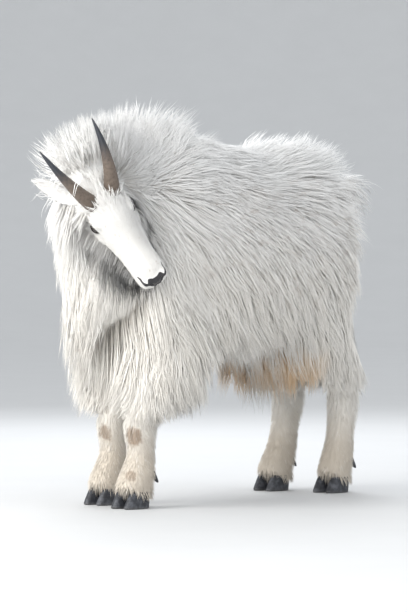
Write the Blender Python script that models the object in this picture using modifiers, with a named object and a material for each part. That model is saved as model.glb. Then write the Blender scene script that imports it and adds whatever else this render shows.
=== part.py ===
"""A life-size mountain goat, a grown billy in winter coat, standing still with its head turned to its left.

+X is the goat's left, -Y is ahead and +Z is up. The hooves stand on z = 0 and all sizes are in metres.
The body is modelled whole from lofted forms, parted into nodes by thin cuts, and then given its long
coat as tapered, overlapping locks that follow the lie of the hair.
"""

import math
import random

import bmesh
import bpy
import numpy as np
from mathutils import Matrix, Vector
from mathutils.bvhtree import BVHTree

GAP = 0.0003  # kept between nodes that meet
UP = Vector((0.0, 0.0, 1.0))
AHEAD = Vector((0.0, -1.0, 0.0))

# Driving dimensions of the body
WITHERS_HEIGHT = 0.985
CHEST_DEPTH = 0.57
BARREL_HALF_WIDTH = 0.2
FORE_HOOF = {"left": (0.069, -0.388), "right": (-0.078, -0.338)}
HIND_HOOF = {"left": (0.087, 0.405), "right": (-0.086, 0.352)}
HIP_Y = 0.365
HOCK_BACK = {"left": 0.046, "right": 0.066}
HOOF_HEIGHT = 0.040
TAIL_CUT = 0.505

# The head: the point midway between the eyes, and how it is turned, nodded and tilted
HEAD_PLACE = Vector((0.140, -0.534, 0.757))
HEAD_TURN = math.radians(105)  # to the goat's left
HEAD_NOD = math.radians(51)  # nose down
HEAD_TILT = math.radians(59)  # left side up
HEAD_SIZE = 0.97
EYE_RADIUS = 0.0155
EYE_PLACE = (0.0, 0.0485, 0.006)  # ahead, out, up in the head's frame
HORN_LENGTH = 0.205
HORN_BASE_RADIUS = 0.0215
EAR_LENGTH = 0.122

# The coat
SEED = 11
LOCK_RINGS = 3
ROOT_SINK = 0.013
ROOT_MARGIN = 0.014  # from a root to the nearest other node
LOCK_THICKNESS = 0.013
TORSO_SPACING = 0.088
NECK_SPACING = 0.060
LEG_SPACING = 0.056
TAIL_SPACING = 0.034
HEAD_SPACING = 0.034

CORE_TRIANGLES = 1850
HEAD_TRIANGLES = 1700

COAT_COLOUR = (0.80, 0.75, 0.66, 1.0)
FACE_COLOUR = (0.88, 0.86, 0.82, 1.0)
HORN_COLOUR = (0.075, 0.062, 0.055, 1.0)
HOOF_COLOUR = (0.035, 0.037, 0.045, 1.0)
EYE_COLOUR = (0.022, 0.012, 0.008, 1.0)


def material(name, colour, roughness):
    made = bpy.data.materials.new(name)
    made.use_nodes = True
    shader = made.node_tree.nodes["Principled BSDF"]
    shader.inputs["Base Color"].default_value = colour
    shader.inputs["Roughness"].default_value = roughness
    shader.inputs["Metallic"].default_value = 0.0
    return made


def smoothstep(low, high, value):
    share = min(max((value - low) / (high - low), 0.0), 1.0)
    return share * share * (3 - 2 * share)


def mix(low, high, share):
    return low + (high - low) * share


def head_axes():
    """The head's ahead, left and up directions, from its turn, nod and tilt."""
    ahead = Vector(
        (
            math.sin(HEAD_TURN) * math.cos(HEAD_NOD),
            -math.cos(HEAD_TURN) * math.cos(HEAD_NOD),
            -math.sin(HEAD_NOD),
        )
    )
    level_left = Vector((math.cos(HEAD_TURN), math.sin(HEAD_TURN), 0.0))
    level_up = ahead.cross(level_left)
    left = level_left * math.cos(HEAD_TILT) + level_up * math.sin(HEAD_TILT)
    return ahead, left, ahead.cross(left)


HEAD_AHEAD, HEAD_LEFT, HEAD_UP = head_axes()


def head_direction(ahead, left, up):
    return HEAD_AHEAD * ahead + HEAD_LEFT * left + HEAD_UP * up


def head_point(ahead, left, up):
    return HEAD_PLACE + head_direction(ahead, left, up) * HEAD_SIZE


def link(obj, collection):
    collection.objects.link(obj)
    return obj


def move(obj, collection):
    for held in list(obj.users_collection):
        held.objects.unlink(obj)
    return link(obj, collection)


def object_from(name, points, faces, collection):
    """A mesh object with all its faces turned outwards."""
    mesh = bpy.data.meshes.new(name)
    mesh.from_pydata([tuple(p) for p in points], [], faces)
    shape = bmesh.new()
    shape.from_mesh(mesh)
    bmesh.ops.recalc_face_normals(shape, faces=shape.faces)
    if shape.calc_volume(signed=True) < 0:
        bmesh.ops.reverse_faces(shape, faces=shape.faces)
    shape.to_mesh(mesh)
    shape.free()
    return link(bpy.data.objects.new(name, mesh), collection)


def bake(obj):
    """Applies an object's modifiers."""
    graph = bpy.context.evaluated_depsgraph_get()
    mesh = bpy.data.meshes.new_from_object(obj.evaluated_get(graph))
    old = obj.data
    obj.modifiers.clear()
    obj.data = mesh
    if old.users == 0:
        bpy.data.meshes.remove(old)
    return obj


def combine(obj, collection, operation, solver="MANIFOLD"):
    """Joins obj with, or cuts it by, all the closed meshes of a collection, which are then removed."""
    boolean = obj.modifiers.new("combine", "BOOLEAN")
    boolean.operation = operation
    boolean.operand_type = "COLLECTION"
    boolean.collection = collection
    boolean.solver = solver
    bake(obj)
    for piece in list(collection.objects):
        bpy.data.objects.remove(piece)
    bpy.data.collections.remove(collection)
    return obj


def loose_surfaces(mesh):
    """The closed surfaces of a mesh, each as a bmesh of its own, the largest first."""
    whole = bmesh.new()
    whole.from_mesh(mesh)
    whole.faces.ensure_lookup_table()
    seen = set()
    found = []
    for face in whole.faces:
        if face.index in seen:
            continue
        group = []
        stack = [face]
        seen.add(face.index)
        while stack:
            current = stack.pop()
            group.append(current)
            for edge in current.edges:
                for other in edge.link_faces:
                    if other.index not in seen:
                        seen.add(other.index)
                        stack.append(other)
        keep = {f.index for f in group}
        part = whole.copy()
        part.faces.ensure_lookup_table()
        bmesh.ops.delete(part, geom=[f for f in part.faces if f.index not in keep], context="FACES")
        found.append(part)
    whole.free()
    return sorted(found, key=lambda part: -part.calc_volume(signed=True))


def keep_largest_surface(obj):
    surfaces = loose_surfaces(obj.data)
    surfaces[0].to_mesh(obj.data)
    for part in surfaces:
        part.free()
    return obj


def thinned(obj, triangles):
    """Collapses a mesh to about this many triangles."""
    obj.data.calc_loop_triangles()
    decimate = obj.modifiers.new("thin", "DECIMATE")
    decimate.ratio = min(1.0, triangles / max(1, len(obj.data.loop_triangles)))
    decimate.use_collapse_triangulate = True
    return bake(obj)


def fused(obj, voxel, smoothing):
    """Melts overlapping closed forms into one skin: a voxel remesh, then smoothing."""
    remesh = obj.modifiers.new("melt", "REMESH")
    remesh.mode = "VOXEL"
    remesh.voxel_size = voxel
    smooth = obj.modifiers.new("smooth", "SMOOTH")
    smooth.factor = 0.5
    smooth.iterations = smoothing
    return bake(obj)


def joined(name, objects, collection):
    """One object that holds the meshes of several."""
    shape = bmesh.new()
    for obj in objects:
        shape.from_mesh(obj.data)
    mesh = bpy.data.meshes.new(name)
    shape.to_mesh(mesh)
    shape.free()
    for obj in objects:
        bpy.data.objects.remove(obj)
    return link(bpy.data.objects.new(name, mesh), collection)


def section(centre, side, up, half_side, half_up, sides, narrow, square):
    """An egg-shaped ring: narrow draws its upper half in, and square above 2 fills its corners."""
    points = []
    for k in range(sides):
        angle = 2 * math.pi * (k + 0.5) / sides
        across = math.copysign(abs(math.cos(angle)) ** (2 / square), math.cos(angle))
        along = math.copysign(abs(math.sin(angle)) ** (2 / square), math.sin(angle))
        points.append(centre + side * (half_side * across * (1 - narrow * along)) + up * (half_up * along))
    return points


def loft(name, stations, hint, sides, collection, axis=None):
    """A closed skin through rings, square to the path or to a given axis.

    A station is (centre, half side, half up, narrow, square).
    """
    centres = [Vector(s[0]) for s in stations]
    points = []
    last = len(centres) - 1
    for k, (_, half_side, half_up, narrow, square) in enumerate(stations):
        along = axis or (centres[min(k + 1, last)] - centres[max(k - 1, 0)]).normalized()
        up = (hint - along * hint.dot(along)).normalized()
        side = up.cross(along)
        points += section(centres[k], side, up, half_side, half_up, sides, narrow, square)
    faces = [tuple(range(sides)), tuple(last * sides + j for j in range(sides))]
    for k in range(last):
        for j in range(sides):
            n = (j + 1) % sides
            faces.append((k * sides + j, k * sides + n, (k + 1) * sides + n, (k + 1) * sides + j))
    return object_from(name, points, faces, collection)


def ball(name, centre, axes, radii, collection, segments=12, rings=8):
    """An ellipsoid whose radii run along three given axes."""
    mesh = bpy.data.meshes.new(name)
    shape = bmesh.new()
    bmesh.ops.create_uvsphere(shape, u_segments=segments, v_segments=rings, radius=1.0)
    columns = Matrix([axis * radius for axis, radius in zip(axes, radii)]).transposed()
    shape.transform(Matrix.Translation(centre) @ columns.to_4x4())
    bmesh.ops.recalc_face_normals(shape, faces=shape.faces)
    if shape.calc_volume(signed=True) < 0:
        bmesh.ops.reverse_faces(shape, faces=shape.faces)
    shape.to_mesh(mesh)
    shape.free()
    return link(bpy.data.objects.new(name, mesh), collection)


def torso_form(collection):
    """Chest, barrel and rump: (y, middle height, half width, half height, narrowing of the top)."""
    top = WITHERS_HEIGHT
    wide = BARREL_HALF_WIDTH
    depth = CHEST_DEPTH
    rows = [
        (-0.490, 0.605, 0.060, 0.090, 0.1),
        (-0.460, 0.620, 0.105, 0.165, 0.15),
        (-0.400, top - 0.455 * depth - 0.072, 0.82 * wide * 0.88, 0.455 * depth, 0.25),
        (-0.320, top - 0.5 * depth - 0.012, 0.86 * wide, 0.5 * depth, 0.36),
        (-0.240, top - 0.5 * depth, 0.91 * wide, 0.5 * depth, 0.40),
        (-0.140, top - 0.485 * depth - 0.014, 0.96 * wide, 0.485 * depth, 0.34),
        (0.000, 0.672, wide, 0.238, 0.16),
        (0.120, 0.668, wide, 0.230, 0.12),
        (0.240, 0.697, 0.96 * wide, 0.231, 0.18),
        (0.340, 0.724, 0.88 * wide, 0.212, 0.22),
        (0.420, 0.728, 0.72 * wide, 0.168, 0.16),
        (0.468, 0.735, 0.47 * wide, 0.115, 0.1),
        (0.488, 0.738, 0.22 * wide, 0.060, 0.0),
    ]
    stations = [((0.0, y, z), w, h, narrow, 2.2) for y, z, w, h, narrow in rows]
    return loft("torso form", stations, UP, 24, collection)


def neck_stations():
    """From inside the shoulders to the back of the skull, bending to the left."""
    return [
        ((0.000, -0.240, 0.760), 0.125, 0.195, 0.15, 2.0),
        ((0.000, -0.340, 0.778), 0.122, 0.182, 0.15, 2.0),
        ((0.008, -0.420, 0.806), 0.112, 0.150, 0.12, 2.0),
        ((0.036, -0.482, 0.822), 0.098, 0.118, 0.08, 2.0),
        (tuple(head_point(-0.078, -0.004, -0.012)), 0.066, 0.078, 0.0, 2.0),
        (tuple(head_point(-0.045, 0.0, -0.020)), 0.045, 0.055, 0.0, 2.0),
    ]


def foreleg_form(side, collection):
    """Shoulder to coronet. The numbers are the centre, the half width and half the front-to-back size."""
    x, y = FORE_HOOF[side]
    s = math.copysign(1.0, x)
    rows = [
        (s * 0.092, y + 0.090, 0.690, 0.060, 0.120),
        (s * 0.108, y + 0.088, 0.600, 0.070, 0.122),
        (s * 0.112, y + 0.098, 0.500, 0.070, 0.105),
        (s * 0.106, y + 0.084, 0.400, 0.070, 0.092),
        (s * 0.094, y + 0.062, 0.310, 0.060, 0.072),
        (x, y + 0.034, 0.232, 0.039, 0.042),
        (x, y + 0.032, 0.195, 0.038, 0.040),
        (x, y + 0.034, 0.150, 0.033, 0.035),
        (x, y + 0.030, 0.112, 0.037, 0.040),
        (x, y + 0.020, 0.082, 0.041, 0.045),
        (x, y + 0.006, 0.052, 0.042, 0.048),
        (x, y + 0.000, 0.030, 0.043, 0.050),
    ]
    return leg_loft("foreleg form " + side, rows, collection)


def hindleg_form(side, collection):
    """Haunch to coronet, with the stifle ahead and the hock behind."""
    x, y = HIND_HOOF[side]
    hock = HOCK_BACK[side]
    s = math.copysign(1.0, x)
    rows = [
        (s * 0.088, HIP_Y - 0.060, 0.760, 0.075, 0.120),
        (s * 0.104, HIP_Y - 0.062, 0.660, 0.078, 0.136),
        (s * 0.108, HIP_Y - 0.064, 0.560, 0.068, 0.124),
        (s * 0.104, mix(HIP_Y, y, 0.3) - 0.036, 0.460, 0.054, 0.092),
        (mix(s * 0.1, x, 0.4), mix(HIP_Y, y, 0.5) + 0.33 * hock, 0.375, 0.042, 0.066),
        (mix(s * 0.1, x, 0.8), mix(HIP_Y, y, 0.8) + hock, 0.300, 0.036, 0.050),
        (x, y + 0.97 * hock, 0.250, 0.035, 0.043),
        (x, y + 0.79 * hock, 0.185, 0.034, 0.038),
        (x, y + 0.61 * hock, 0.125, 0.037, 0.041),
        (x, y + 0.36 * hock, 0.085, 0.041, 0.045),
        (x, y + 0.007, 0.052, 0.042, 0.048),
        (x, y + 0.000, 0.030, 0.043, 0.050),
    ]
    return leg_loft("hindleg form " + side, rows, collection)


def leg_loft(name, rows, collection):
    stations = [((x, y, z), half_x, half_y, 0.0, 2.2) for x, y, z, half_x, half_y in rows]
    return loft(name, stations, AHEAD, 16, collection)


def tail_form(collection):
    stations = [
        ((0.0, 0.440, 0.820), 0.034, 0.034, 0.0, 2.0),
        ((0.0, 0.500, 0.845), 0.029, 0.030, 0.0, 2.0),
        ((0.0, 0.560, 0.858), 0.024, 0.022, 0.0, 2.0),
        ((0.0, 0.605, 0.862), 0.014, 0.012, 0.0, 2.0),
    ]
    return loft("tail form", stations, UP, 12, collection)


def skull_form(collection):
    """The head's length as sections: (ahead, top, bottom, half width, narrowing of the top, squareness)."""
    rows = [
        (-0.122, 0.012, -0.030, 0.020, 0.0, 2.0),
        (-0.108, 0.036, -0.052, 0.044, 0.0, 2.0),
        (-0.080, 0.054, -0.080, 0.056, 0.0, 2.1),
        (-0.045, 0.061, -0.093, 0.059, 0.02, 2.2),
        (-0.010, 0.060, -0.095, 0.0595, 0.04, 2.3),
        (0.022, 0.052, -0.090, 0.055, 0.06, 2.3),
        (0.052, 0.040, -0.084, 0.0490, 0.10, 2.2),
        (0.085, 0.029, -0.078, 0.0435, 0.10, 2.2),
        (0.115, 0.020, -0.074, 0.0410, 0.08, 2.3),
        (0.143, 0.012, -0.071, 0.0405, 0.04, 2.4),
        (0.165, 0.006, -0.070, 0.0410, 0.0, 2.4),
        (0.184, -0.003, -0.068, 0.0385, 0.0, 2.3),
        (0.199, -0.014, -0.062, 0.0310, 0.0, 2.2),
        (0.208, -0.027, -0.050, 0.0170, 0.0, 2.0),
    ]
    stations = []
    for ahead, top, bottom, half_width, narrow, square in rows:
        centre = tuple(head_point(ahead, 0.0, (top + bottom) / 2))
        half_up = (top - bottom) / 2 * HEAD_SIZE
        stations.append((centre, half_width * HEAD_SIZE, half_up, narrow, square))
    return loft("skull form", stations, HEAD_UP, 24, collection)


def head_details(collection):
    """Brow ridges, cheeks, horn bosses, chin and nose wings, as ellipsoids that melt into the skull."""
    axes = (HEAD_AHEAD, HEAD_LEFT, HEAD_UP)
    pieces = []
    for s in (1, -1):
        for name, place, radii in (
            ("brow", (-0.004, s * 0.046, 0.024), (0.026, 0.012, 0.012)),
            ("cheek bone", (0.012, s * 0.047, -0.020), (0.036, 0.014, 0.014)),
            ("jaw muscle", (-0.048, s * 0.044, -0.050), (0.036, 0.020, 0.034)),
            ("horn boss", (-0.050, s * 0.031, 0.040), (0.027, 0.025, 0.026)),
            ("nose wing", (0.188, s * 0.025, -0.022), (0.018, 0.013, 0.014)),
            ("upper lip", (0.178, s * 0.026, -0.043), (0.026, 0.014, 0.012)),
        ):
            centre = head_point(*place)
            sizes = [r * HEAD_SIZE for r in radii]
            pieces.append(ball(name, centre, axes, sizes, collection))
    chin = head_point(0.176, 0.0, -0.064)
    pieces.append(ball("chin", chin, axes, (0.026, 0.027, 0.014), collection))
    return pieces


def region_walls(name):
    """The bounds of a node within the whole body: a point on each wall and its way out."""
    kind, _, side = name.rpartition("_")
    s = 1 if side == "left" else -1
    if name == "head":
        behind = -(HEAD_AHEAD * 0.78 + HEAD_UP * 0.62).normalized()
        return [
            (head_point(-0.088, 0.0, 0.0), behind),
            (head_point(0.0, 0.0, -0.120), -HEAD_UP),
            (head_point(0.0, 0.110, 0.0), HEAD_LEFT),
            (head_point(0.0, -0.110, 0.0), -HEAD_LEFT),
            (head_point(0.0, 0.0, 0.120), HEAD_UP),
            (head_point(0.260, 0.0, 0.0), HEAD_AHEAD),
        ]
    if name == "neck":
        return [
            (Vector((0.0, -0.395, 0.760)), Vector((0.0, 0.93, -0.37)).normalized()),
            (Vector((0.0, -0.60, 0.480)), -UP),
        ]
    if name == "tail":
        return [
            (Vector((0.0, TAIL_CUT, 0.848)), Vector((0.0, -1.0, -0.2)).normalized()),
            (Vector((0.0, 0.0, 0.760)), -UP),
        ]
    if kind == "foreleg_lower":
        y = FORE_HOOF[side][1] + 0.036
        top = (Vector((0.0, y, 0.245)), UP)
        reach = 0.14
    elif kind == "hindleg_lower":
        y = HIND_HOOF[side][1] + 0.066
        top = (Vector((0.0, y, 0.290)), Vector((0.0, 0.25, 0.97)).normalized())
        reach = 0.14
    elif kind == "foreleg_upper":
        y = FORE_HOOF[side][1] + 0.085
        top = (Vector((s * 0.105, y, 0.432)), Vector((-s * 0.70, 0.0, 0.71)))
        reach = 0.15
    else:
        y = HIND_HOOF[side][1]
        top = (Vector((s * 0.118, y - 0.055, 0.500)), Vector((-s * 0.55, -0.10, 0.83)).normalized())
        reach = 0.21
    return [
        top,
        (Vector((s * 0.008, 0.0, 0.0)), Vector((-s, 0.0, 0.0))),
        (Vector((0.0, y - reach, 0.0)), AHEAD),
        (Vector((0.0, y + reach, 0.0)), -AHEAD),
        (Vector((0.0, 0.0, HOOF_HEIGHT)), -UP),
    ]


def region_shape(name, grow):
    """The closed block inside a region's walls, each moved out by a small distance."""
    shape = bmesh.new()
    bmesh.ops.create_cube(shape, size=4.0)
    for point, outward in region_walls(name):
        geometry = shape.verts[:] + shape.edges[:] + shape.faces[:]
        cut = bmesh.ops.bisect_plane(
            shape, geom=geometry, plane_co=point + outward * grow, plane_no=outward, clear_outer=True
        )
        rim = [e for e in cut["geom_cut"] if isinstance(e, bmesh.types.BMEdge)]
        bmesh.ops.contextual_create(shape, geom=rim)
    bmesh.ops.recalc_face_normals(shape, faces=shape.faces)
    return shape


def region_block(name, grow, collection):
    shape = region_shape(name, grow)
    mesh = bpy.data.meshes.new("block " + name)
    shape.to_mesh(mesh)
    shape.free()
    return link(bpy.data.objects.new("block " + name, mesh), collection)


def body_core(collection):
    """The whole body under its long hair, in one skin."""
    forms = [torso_form(collection), tail_form(collection), skull_form(collection)]
    forms.append(loft("neck form", neck_stations(), UP, 20, collection))
    for side in ("left", "right"):
        forms.append(foreleg_form(side, collection))
        forms.append(hindleg_form(side, collection))
    return fused(joined("body core", forms, collection), 0.010, 10)


def head_core(collection):
    """The head and the end of the neck at a finer grain."""
    neck = loft("neck end", neck_stations()[2:], UP, 20, collection)
    forms = [skull_form(collection), neck] + head_details(collection)
    return fused(joined("head core", forms, collection), 0.0036, 5)


def parted(core, collection):
    """Divides the body into its nodes by their regions, from the extremities inwards."""
    names = ["head", "tail"]
    for part in ("foreleg_lower_", "hindleg_lower_", "foreleg_upper_", "hindleg_upper_"):
        names += [part + "left", part + "right"]
    nodes = {}
    for name in names + ["neck"]:
        piece = link(bpy.data.objects.new(name, core.data.copy()), collection)
        piece.data.name = name
        held = bpy.data.collections.new("block")
        region_block(name, -GAP / 2, held)
        nodes[name] = keep_largest_surface(combine(piece, held, "INTERSECT"))
        held = bpy.data.collections.new("block")
        region_block(name, GAP / 2, held)
        combine(core, held, "DIFFERENCE")
    bpy.data.objects.remove(nodes.pop("head"))
    core.name = core.data.name = "torso"
    move(core, collection)
    nodes["torso"] = keep_largest_surface(core)
    return nodes


def swollen(obj, by, collection):
    """A copy of a node, grown by a small distance, to cut its neighbours clear of it."""
    copy = link(bpy.data.objects.new(obj.name + " swollen", obj.data.copy()), collection)
    displace = copy.modifiers.new("swell", "DISPLACE")
    displace.strength = by
    displace.mid_level = 0.0
    return bake(copy)


def eye_centre(s):
    ahead, out, up = EYE_PLACE
    return head_point(ahead, s * out, up)


def eye_axes(s):
    """The eye looks outwards, a little ahead and up; its opening runs along the head."""
    look = head_direction(0.30, s * 0.90, 0.30).normalized()
    along = (HEAD_AHEAD * 0.97 - HEAD_UP * 0.24)
    along = (along - look * along.dot(look)).normalized()
    return along, look, along.cross(look)


def tube(name, path, radius, collection, sides=6):
    """A round tube along points, closed at both ends."""
    stations = [(tuple(p), radius, radius, 0.0, 2.0) for p in path]
    return loft(name, stations, HEAD_UP + HEAD_AHEAD * 0.1, sides, collection)


def mouth_path(s, skin):
    """The line of the mouth on the skin, from the front of the lips back along the cheek."""
    path = []
    for ahead, up in ((0.208, -0.0495), (0.198, -0.0505), (0.180, -0.0520), (0.160, -0.0520), (0.138, -0.0505),
                      (0.118, -0.0480)):
        guess = head_point(ahead, s * (0.05 if ahead < 0.2 else 0.006), up)
        path.append(skin.find_nearest(guess)[0])
    return path


def carve_head(head, collection):
    """Adds the lids, and cuts the eye sockets, nostrils and the line of the mouth."""
    skin = BVHTree.FromObject(head, bpy.context.evaluated_depsgraph_get())
    lids = bpy.data.collections.new("lids")
    cutters = bpy.data.collections.new("carving")
    for s in (1, -1):
        along, look, across = eye_axes(s)
        axes = (along, look, across)
        lid = EYE_RADIUS + 0.0030
        ball("lid", eye_centre(s), axes, (lid * 1.06, lid, lid * 0.98), lids, 16, 10)
        socket = EYE_RADIUS + GAP
        ball("socket", eye_centre(s), axes, (socket, socket, socket), cutters, 12, 8)
        outer = eye_centre(s) + look * (EYE_RADIUS + 0.012)
        inner = eye_centre(s) + look * (EYE_RADIUS * 0.35)
        stations = [(tuple(outer), 0.0142, 0.0074, 0.0, 1.6), (tuple(inner), 0.0142, 0.0074, 0.0, 1.6)]
        loft("lid opening", stations, across, 16, cutters)
        nostril = head_point(0.2000, s * 0.0215, -0.0235)
        slant = head_direction(0.25, s * 0.75, 0.62).normalized()
        inward = head_direction(-0.9, s * 0.35, 0.0)
        inward = (inward - slant * inward.dot(slant)).normalized()
        ball("nostril", nostril, (slant, inward, slant.cross(inward)), (0.0078, 0.011, 0.0032), cutters, 10, 6)
        tube("mouth", mouth_path(s, skin), 0.0013, cutters)
    combine(head, lids, "UNION")
    combine(head, cutters, "DIFFERENCE")
    return keep_largest_surface(head)


def eyes(collection):
    made = {}
    for side, s in (("left", 1), ("right", -1)):
        name = "eye_" + side
        made[name] = ball(name, eye_centre(s), eye_axes(s), (EYE_RADIUS,) * 3, collection, 12, 8)
    return made


def horn(side, collection):
    """A ringed, back-curving horn. Its splay closes and its rise lessens towards the tip."""
    s = 1 if side == "left" else -1
    rings = 14
    point = head_point(-0.047, s * 0.031, 0.046)
    stations = []
    for k in range(rings + 1):
        share = k / rings
        rise = math.radians(mix(60, 20, share))
        splay = math.radians(mix(22, 7, share))
        heading = head_direction(
            -math.cos(rise) * math.cos(splay), s * math.sin(splay), math.sin(rise) * math.cos(splay)
        )
        if k:
            point = point + heading * (HORN_LENGTH / rings)
        radius = HORN_BASE_RADIUS * (1 - share) ** 0.86 + 0.0016
        ripple = 0.0006 * (1 if k % 2 else -1) * (1 - smoothstep(0.35, 0.6, share))
        stations.append((tuple(point), (radius + ripple) * 0.93, (radius + ripple) * 1.05, 0.0, 2.0))
    return loft("horn_" + side, stations, HEAD_AHEAD, 10, collection)


def ear(side, collection):
    """A pointed leaf, cupped along its length, rooted in a short stalk."""
    s = 1 if side == "left" else -1
    root = head_point(-0.086, s * 0.047, 0.018)
    along = head_direction(-0.84, s * 0.50, 0.20).normalized()
    opening = head_direction(0.12, s * 0.62, 0.40)
    opening = (opening - along * opening.dot(along)).normalized()
    across = along.cross(opening)
    rows, columns, wall = 7, 4, 0.0034
    front, back = [], []
    for i in range(rows + 1):
        share = i / rows
        half = 0.0265 * math.sin(math.pi * min(0.985, share * 0.86 + 0.13)) ** 0.75
        curl = math.radians(mix(80, 34, smoothstep(0.0, 0.9, share)))
        radius = half / math.sin(curl)
        middle = root + along * (EAR_LENGTH * share) + opening * (0.012 * share * share)
        for j in range(columns + 1):
            angle = curl * (2 * j / columns - 1)
            for points, r in ((front, radius - wall), (back, radius)):
                out = across * (r * math.sin(angle)) + opening * (radius - r * math.cos(angle))
                points.append(middle + out)
    width = columns + 1
    half_count = len(front)
    faces = []
    for i in range(rows):
        for j in range(columns):
            a = i * width + j
            quad = (a, a + 1, a + width + 1, a + width)
            faces.append(quad)
            faces.append(tuple(half_count + v for v in reversed(quad)))
    rim = [j for j in range(width)]
    rim += [i * width + columns for i in range(1, rows + 1)]
    rim += [rows * width + j for j in range(columns - 1, -1, -1)]
    rim += [i * width for i in range(rows - 1, 0, -1)]
    for a, b in zip(rim, rim[1:] + rim[:1]):
        faces.append((a, b, half_count + b, half_count + a))
    leaf = object_from("ear_" + side, front + back, faces, collection)
    stalk = bpy.data.collections.new("stalk")
    stations = [
        (tuple(root - along * 0.016 + opening * 0.008), 0.015, 0.013, 0.0, 2.0),
        (tuple(root + along * 0.010 + opening * 0.008), 0.018, 0.012, 0.0, 2.0),
        (tuple(root + along * 0.030 + opening * 0.008), 0.012, 0.007, 0.0, 2.0),
    ]
    loft("stalk", stations, opening, 8, stalk)
    return combine(leaf, stalk, "UNION")


def claw(name, x, y, toe_in, collection):
    """One half of a cloven hoof: a flat sole, a sloping front wall and a rounded heel."""
    half_width, half_length = 0.0185, 0.041
    rows = [
        (0.0, -0.004, 1.00, 1.00),
        (0.006, -0.004, 1.05, 1.02),
        (0.022, 0.001, 0.98, 0.92),
        (HOOF_HEIGHT - GAP / 2, 0.006, 0.84, 0.78),
    ]
    stations = [
        ((x + toe_in * back, y + back, z), half_width * wide, half_length * long, 0.12, 2.3)
        for z, back, wide, long in rows
    ]
    return loft(name, stations, AHEAD, 10, collection, UP)


def dewclaw(name, x, y, z, collection):
    """A small blunt horn behind the pastern."""
    stations = [
        ((x, y - 0.012, z + 0.010), 0.0105, 0.0095, 0.0, 2.0),
        ((x, y, z), 0.0100, 0.0090, 0.0, 2.0),
        ((x, y + 0.016, z - 0.018), 0.0035, 0.0025, 0.0, 2.0),
    ]
    return loft(name, stations, UP, 6, collection)


def feet(nodes, collection):
    """The eight claws, and the eight dewclaws cut clear of the pasterns they sit on."""
    made = {}
    for pair, hooves in (("fore", FORE_HOOF), ("hind", HIND_HOOF)):
        for side, (x, y) in hooves.items():
            s = math.copysign(1.0, x)
            shank = nodes[pair + "leg_lower_" + side]
            for toe, out in (("outer", s), ("inner", -s)):
                name = "_".join(("hoof", pair, side, toe))
                made[name] = claw(name, x + out * 0.0232, y - 0.004, out * 0.12, collection)
                name = "_".join(("dewclaw", pair, side, toe))
                spur = dewclaw(name, x + out * 0.020, y + 0.062, 0.083, collection)
                cutters = bpy.data.collections.new("pastern")
                swollen(shank, GAP, cutters)
                made[name] = keep_largest_surface(combine(spur, cutters, "DIFFERENCE"))
    return made


class Skin:
    """The nearest bare skin to any point: how far outside it the point is, and which way is out."""

    def __init__(self, objects):
        graph = bpy.context.evaluated_depsgraph_get()
        self.trees = [BVHTree.FromObject(obj, graph) for obj in objects]

    def height(self, point):
        best = None
        for tree in self.trees:
            place, normal, _, distance = tree.find_nearest(point)
            height = math.copysign(distance, (point - place).dot(normal))
            if best is None or height < best[0]:
                best = (height, normal)
        return best


class Style:
    """How the hair lies at a point."""

    def __init__(self, lie, lift, length, width, clear, sag):
        self.lie = lie.normalized()
        self.lift = lift  # share of the skin's own direction in the lock's heading
        self.length = length
        self.width = width
        self.clear = clear  # least height of the tip over the skin
        self.sag = sag  # how fast the lock droops


def torso_style(point, normal):
    """Back and down along the flanks, erect and fanned on the hump and the rump, hanging from the belly."""
    low = smoothstep(0.92, 0.62, point.z)
    side = max(-1.0, min(1.0, point.x / 0.16))
    hump = smoothstep(0.80, 0.92, point.z) * (1 - smoothstep(-0.28, -0.09, point.y))
    crest = smoothstep(0.83, 0.90, point.z) * smoothstep(-0.04, 0.18, point.y)
    chest = smoothstep(-0.30, -0.42, point.y)
    under = smoothstep(-0.30, -0.75, normal.z)
    lie = Vector((0.22 * side, mix(0.90, 0.30, low), -mix(0.10, 1.0, low)))
    lie = lie.lerp(Vector((0.30 * side, 0.05, -1.0)), chest)
    fan = (point - Vector((0.0, -0.20, 0.70))).normalized() + Vector((0.0, 0.45, 0.0))
    lie = lie.lerp(fan.normalized(), 0.9 * hump)
    lie = lie.lerp(Vector((0.25 * side, 0.75, 0.45)), 0.7 * crest)
    rear = max(smoothstep(0.25, 0.80, normal.y), smoothstep(0.27, 0.40, point.y)) * (1 - crest)
    lie = lie.lerp(Vector((0.15 * side, 0.10, -1.0)), rear)
    lift = mix(0.24, 0.46, hump) + 0.16 * crest - 0.10 * rear
    lift = mix(lift, 0.50, under)
    middle = smoothstep(0.14, 0.05, abs(point.x))
    hem = mix(0.37, 0.27, smoothstep(0.02, 0.18, point.y) * mix(0.55, 1.0, middle))
    length = mix(0.170, 0.165, low) - 0.062 * hump - 0.030 * crest - 0.030 * rear
    if under > 0:
        length = mix(length, min(0.19, max(0.07, point.z - hem)), under)
    clear = mix(mix(0.034, 0.030, low), 0.050, hump) + 0.012 * crest - 0.018 * rear
    return Style(lie, lift, length, mix(0.092, 0.075, max(hump, crest)), clear, mix(0.10, 0.0, max(hump, crest)))


def neck_style(point, normal):
    """Hanging from the throat and neck, erect along the crest."""
    side = max(-1.0, min(1.0, (point.x - 0.02) / 0.12))
    crest = smoothstep(0.80, 0.90, point.z)
    fan = (point - Vector((0.01, -0.32, 0.70))).normalized()
    fan = Vector((0.5 * fan.x, fan.y + 0.25, fan.z))
    lie = Vector((0.10 * side, 0.0, -1.0)).lerp(fan.normalized(), crest)
    return Style(lie, mix(0.18, 0.46, crest), mix(0.160, 0.100, crest), 0.075, 0.032, mix(0.12, 0.0, crest))


def foreleg_style(point, normal):
    """The chaps: hanging down and flaring a little to a hem at the knee."""
    out = Vector((normal.x, normal.y + 0.25, 0.0))
    length = min(0.150, point.z - 0.232)
    return Style(out * 0.34 - UP, 0.28, length, 0.064, 0.034, 0.10)


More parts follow.
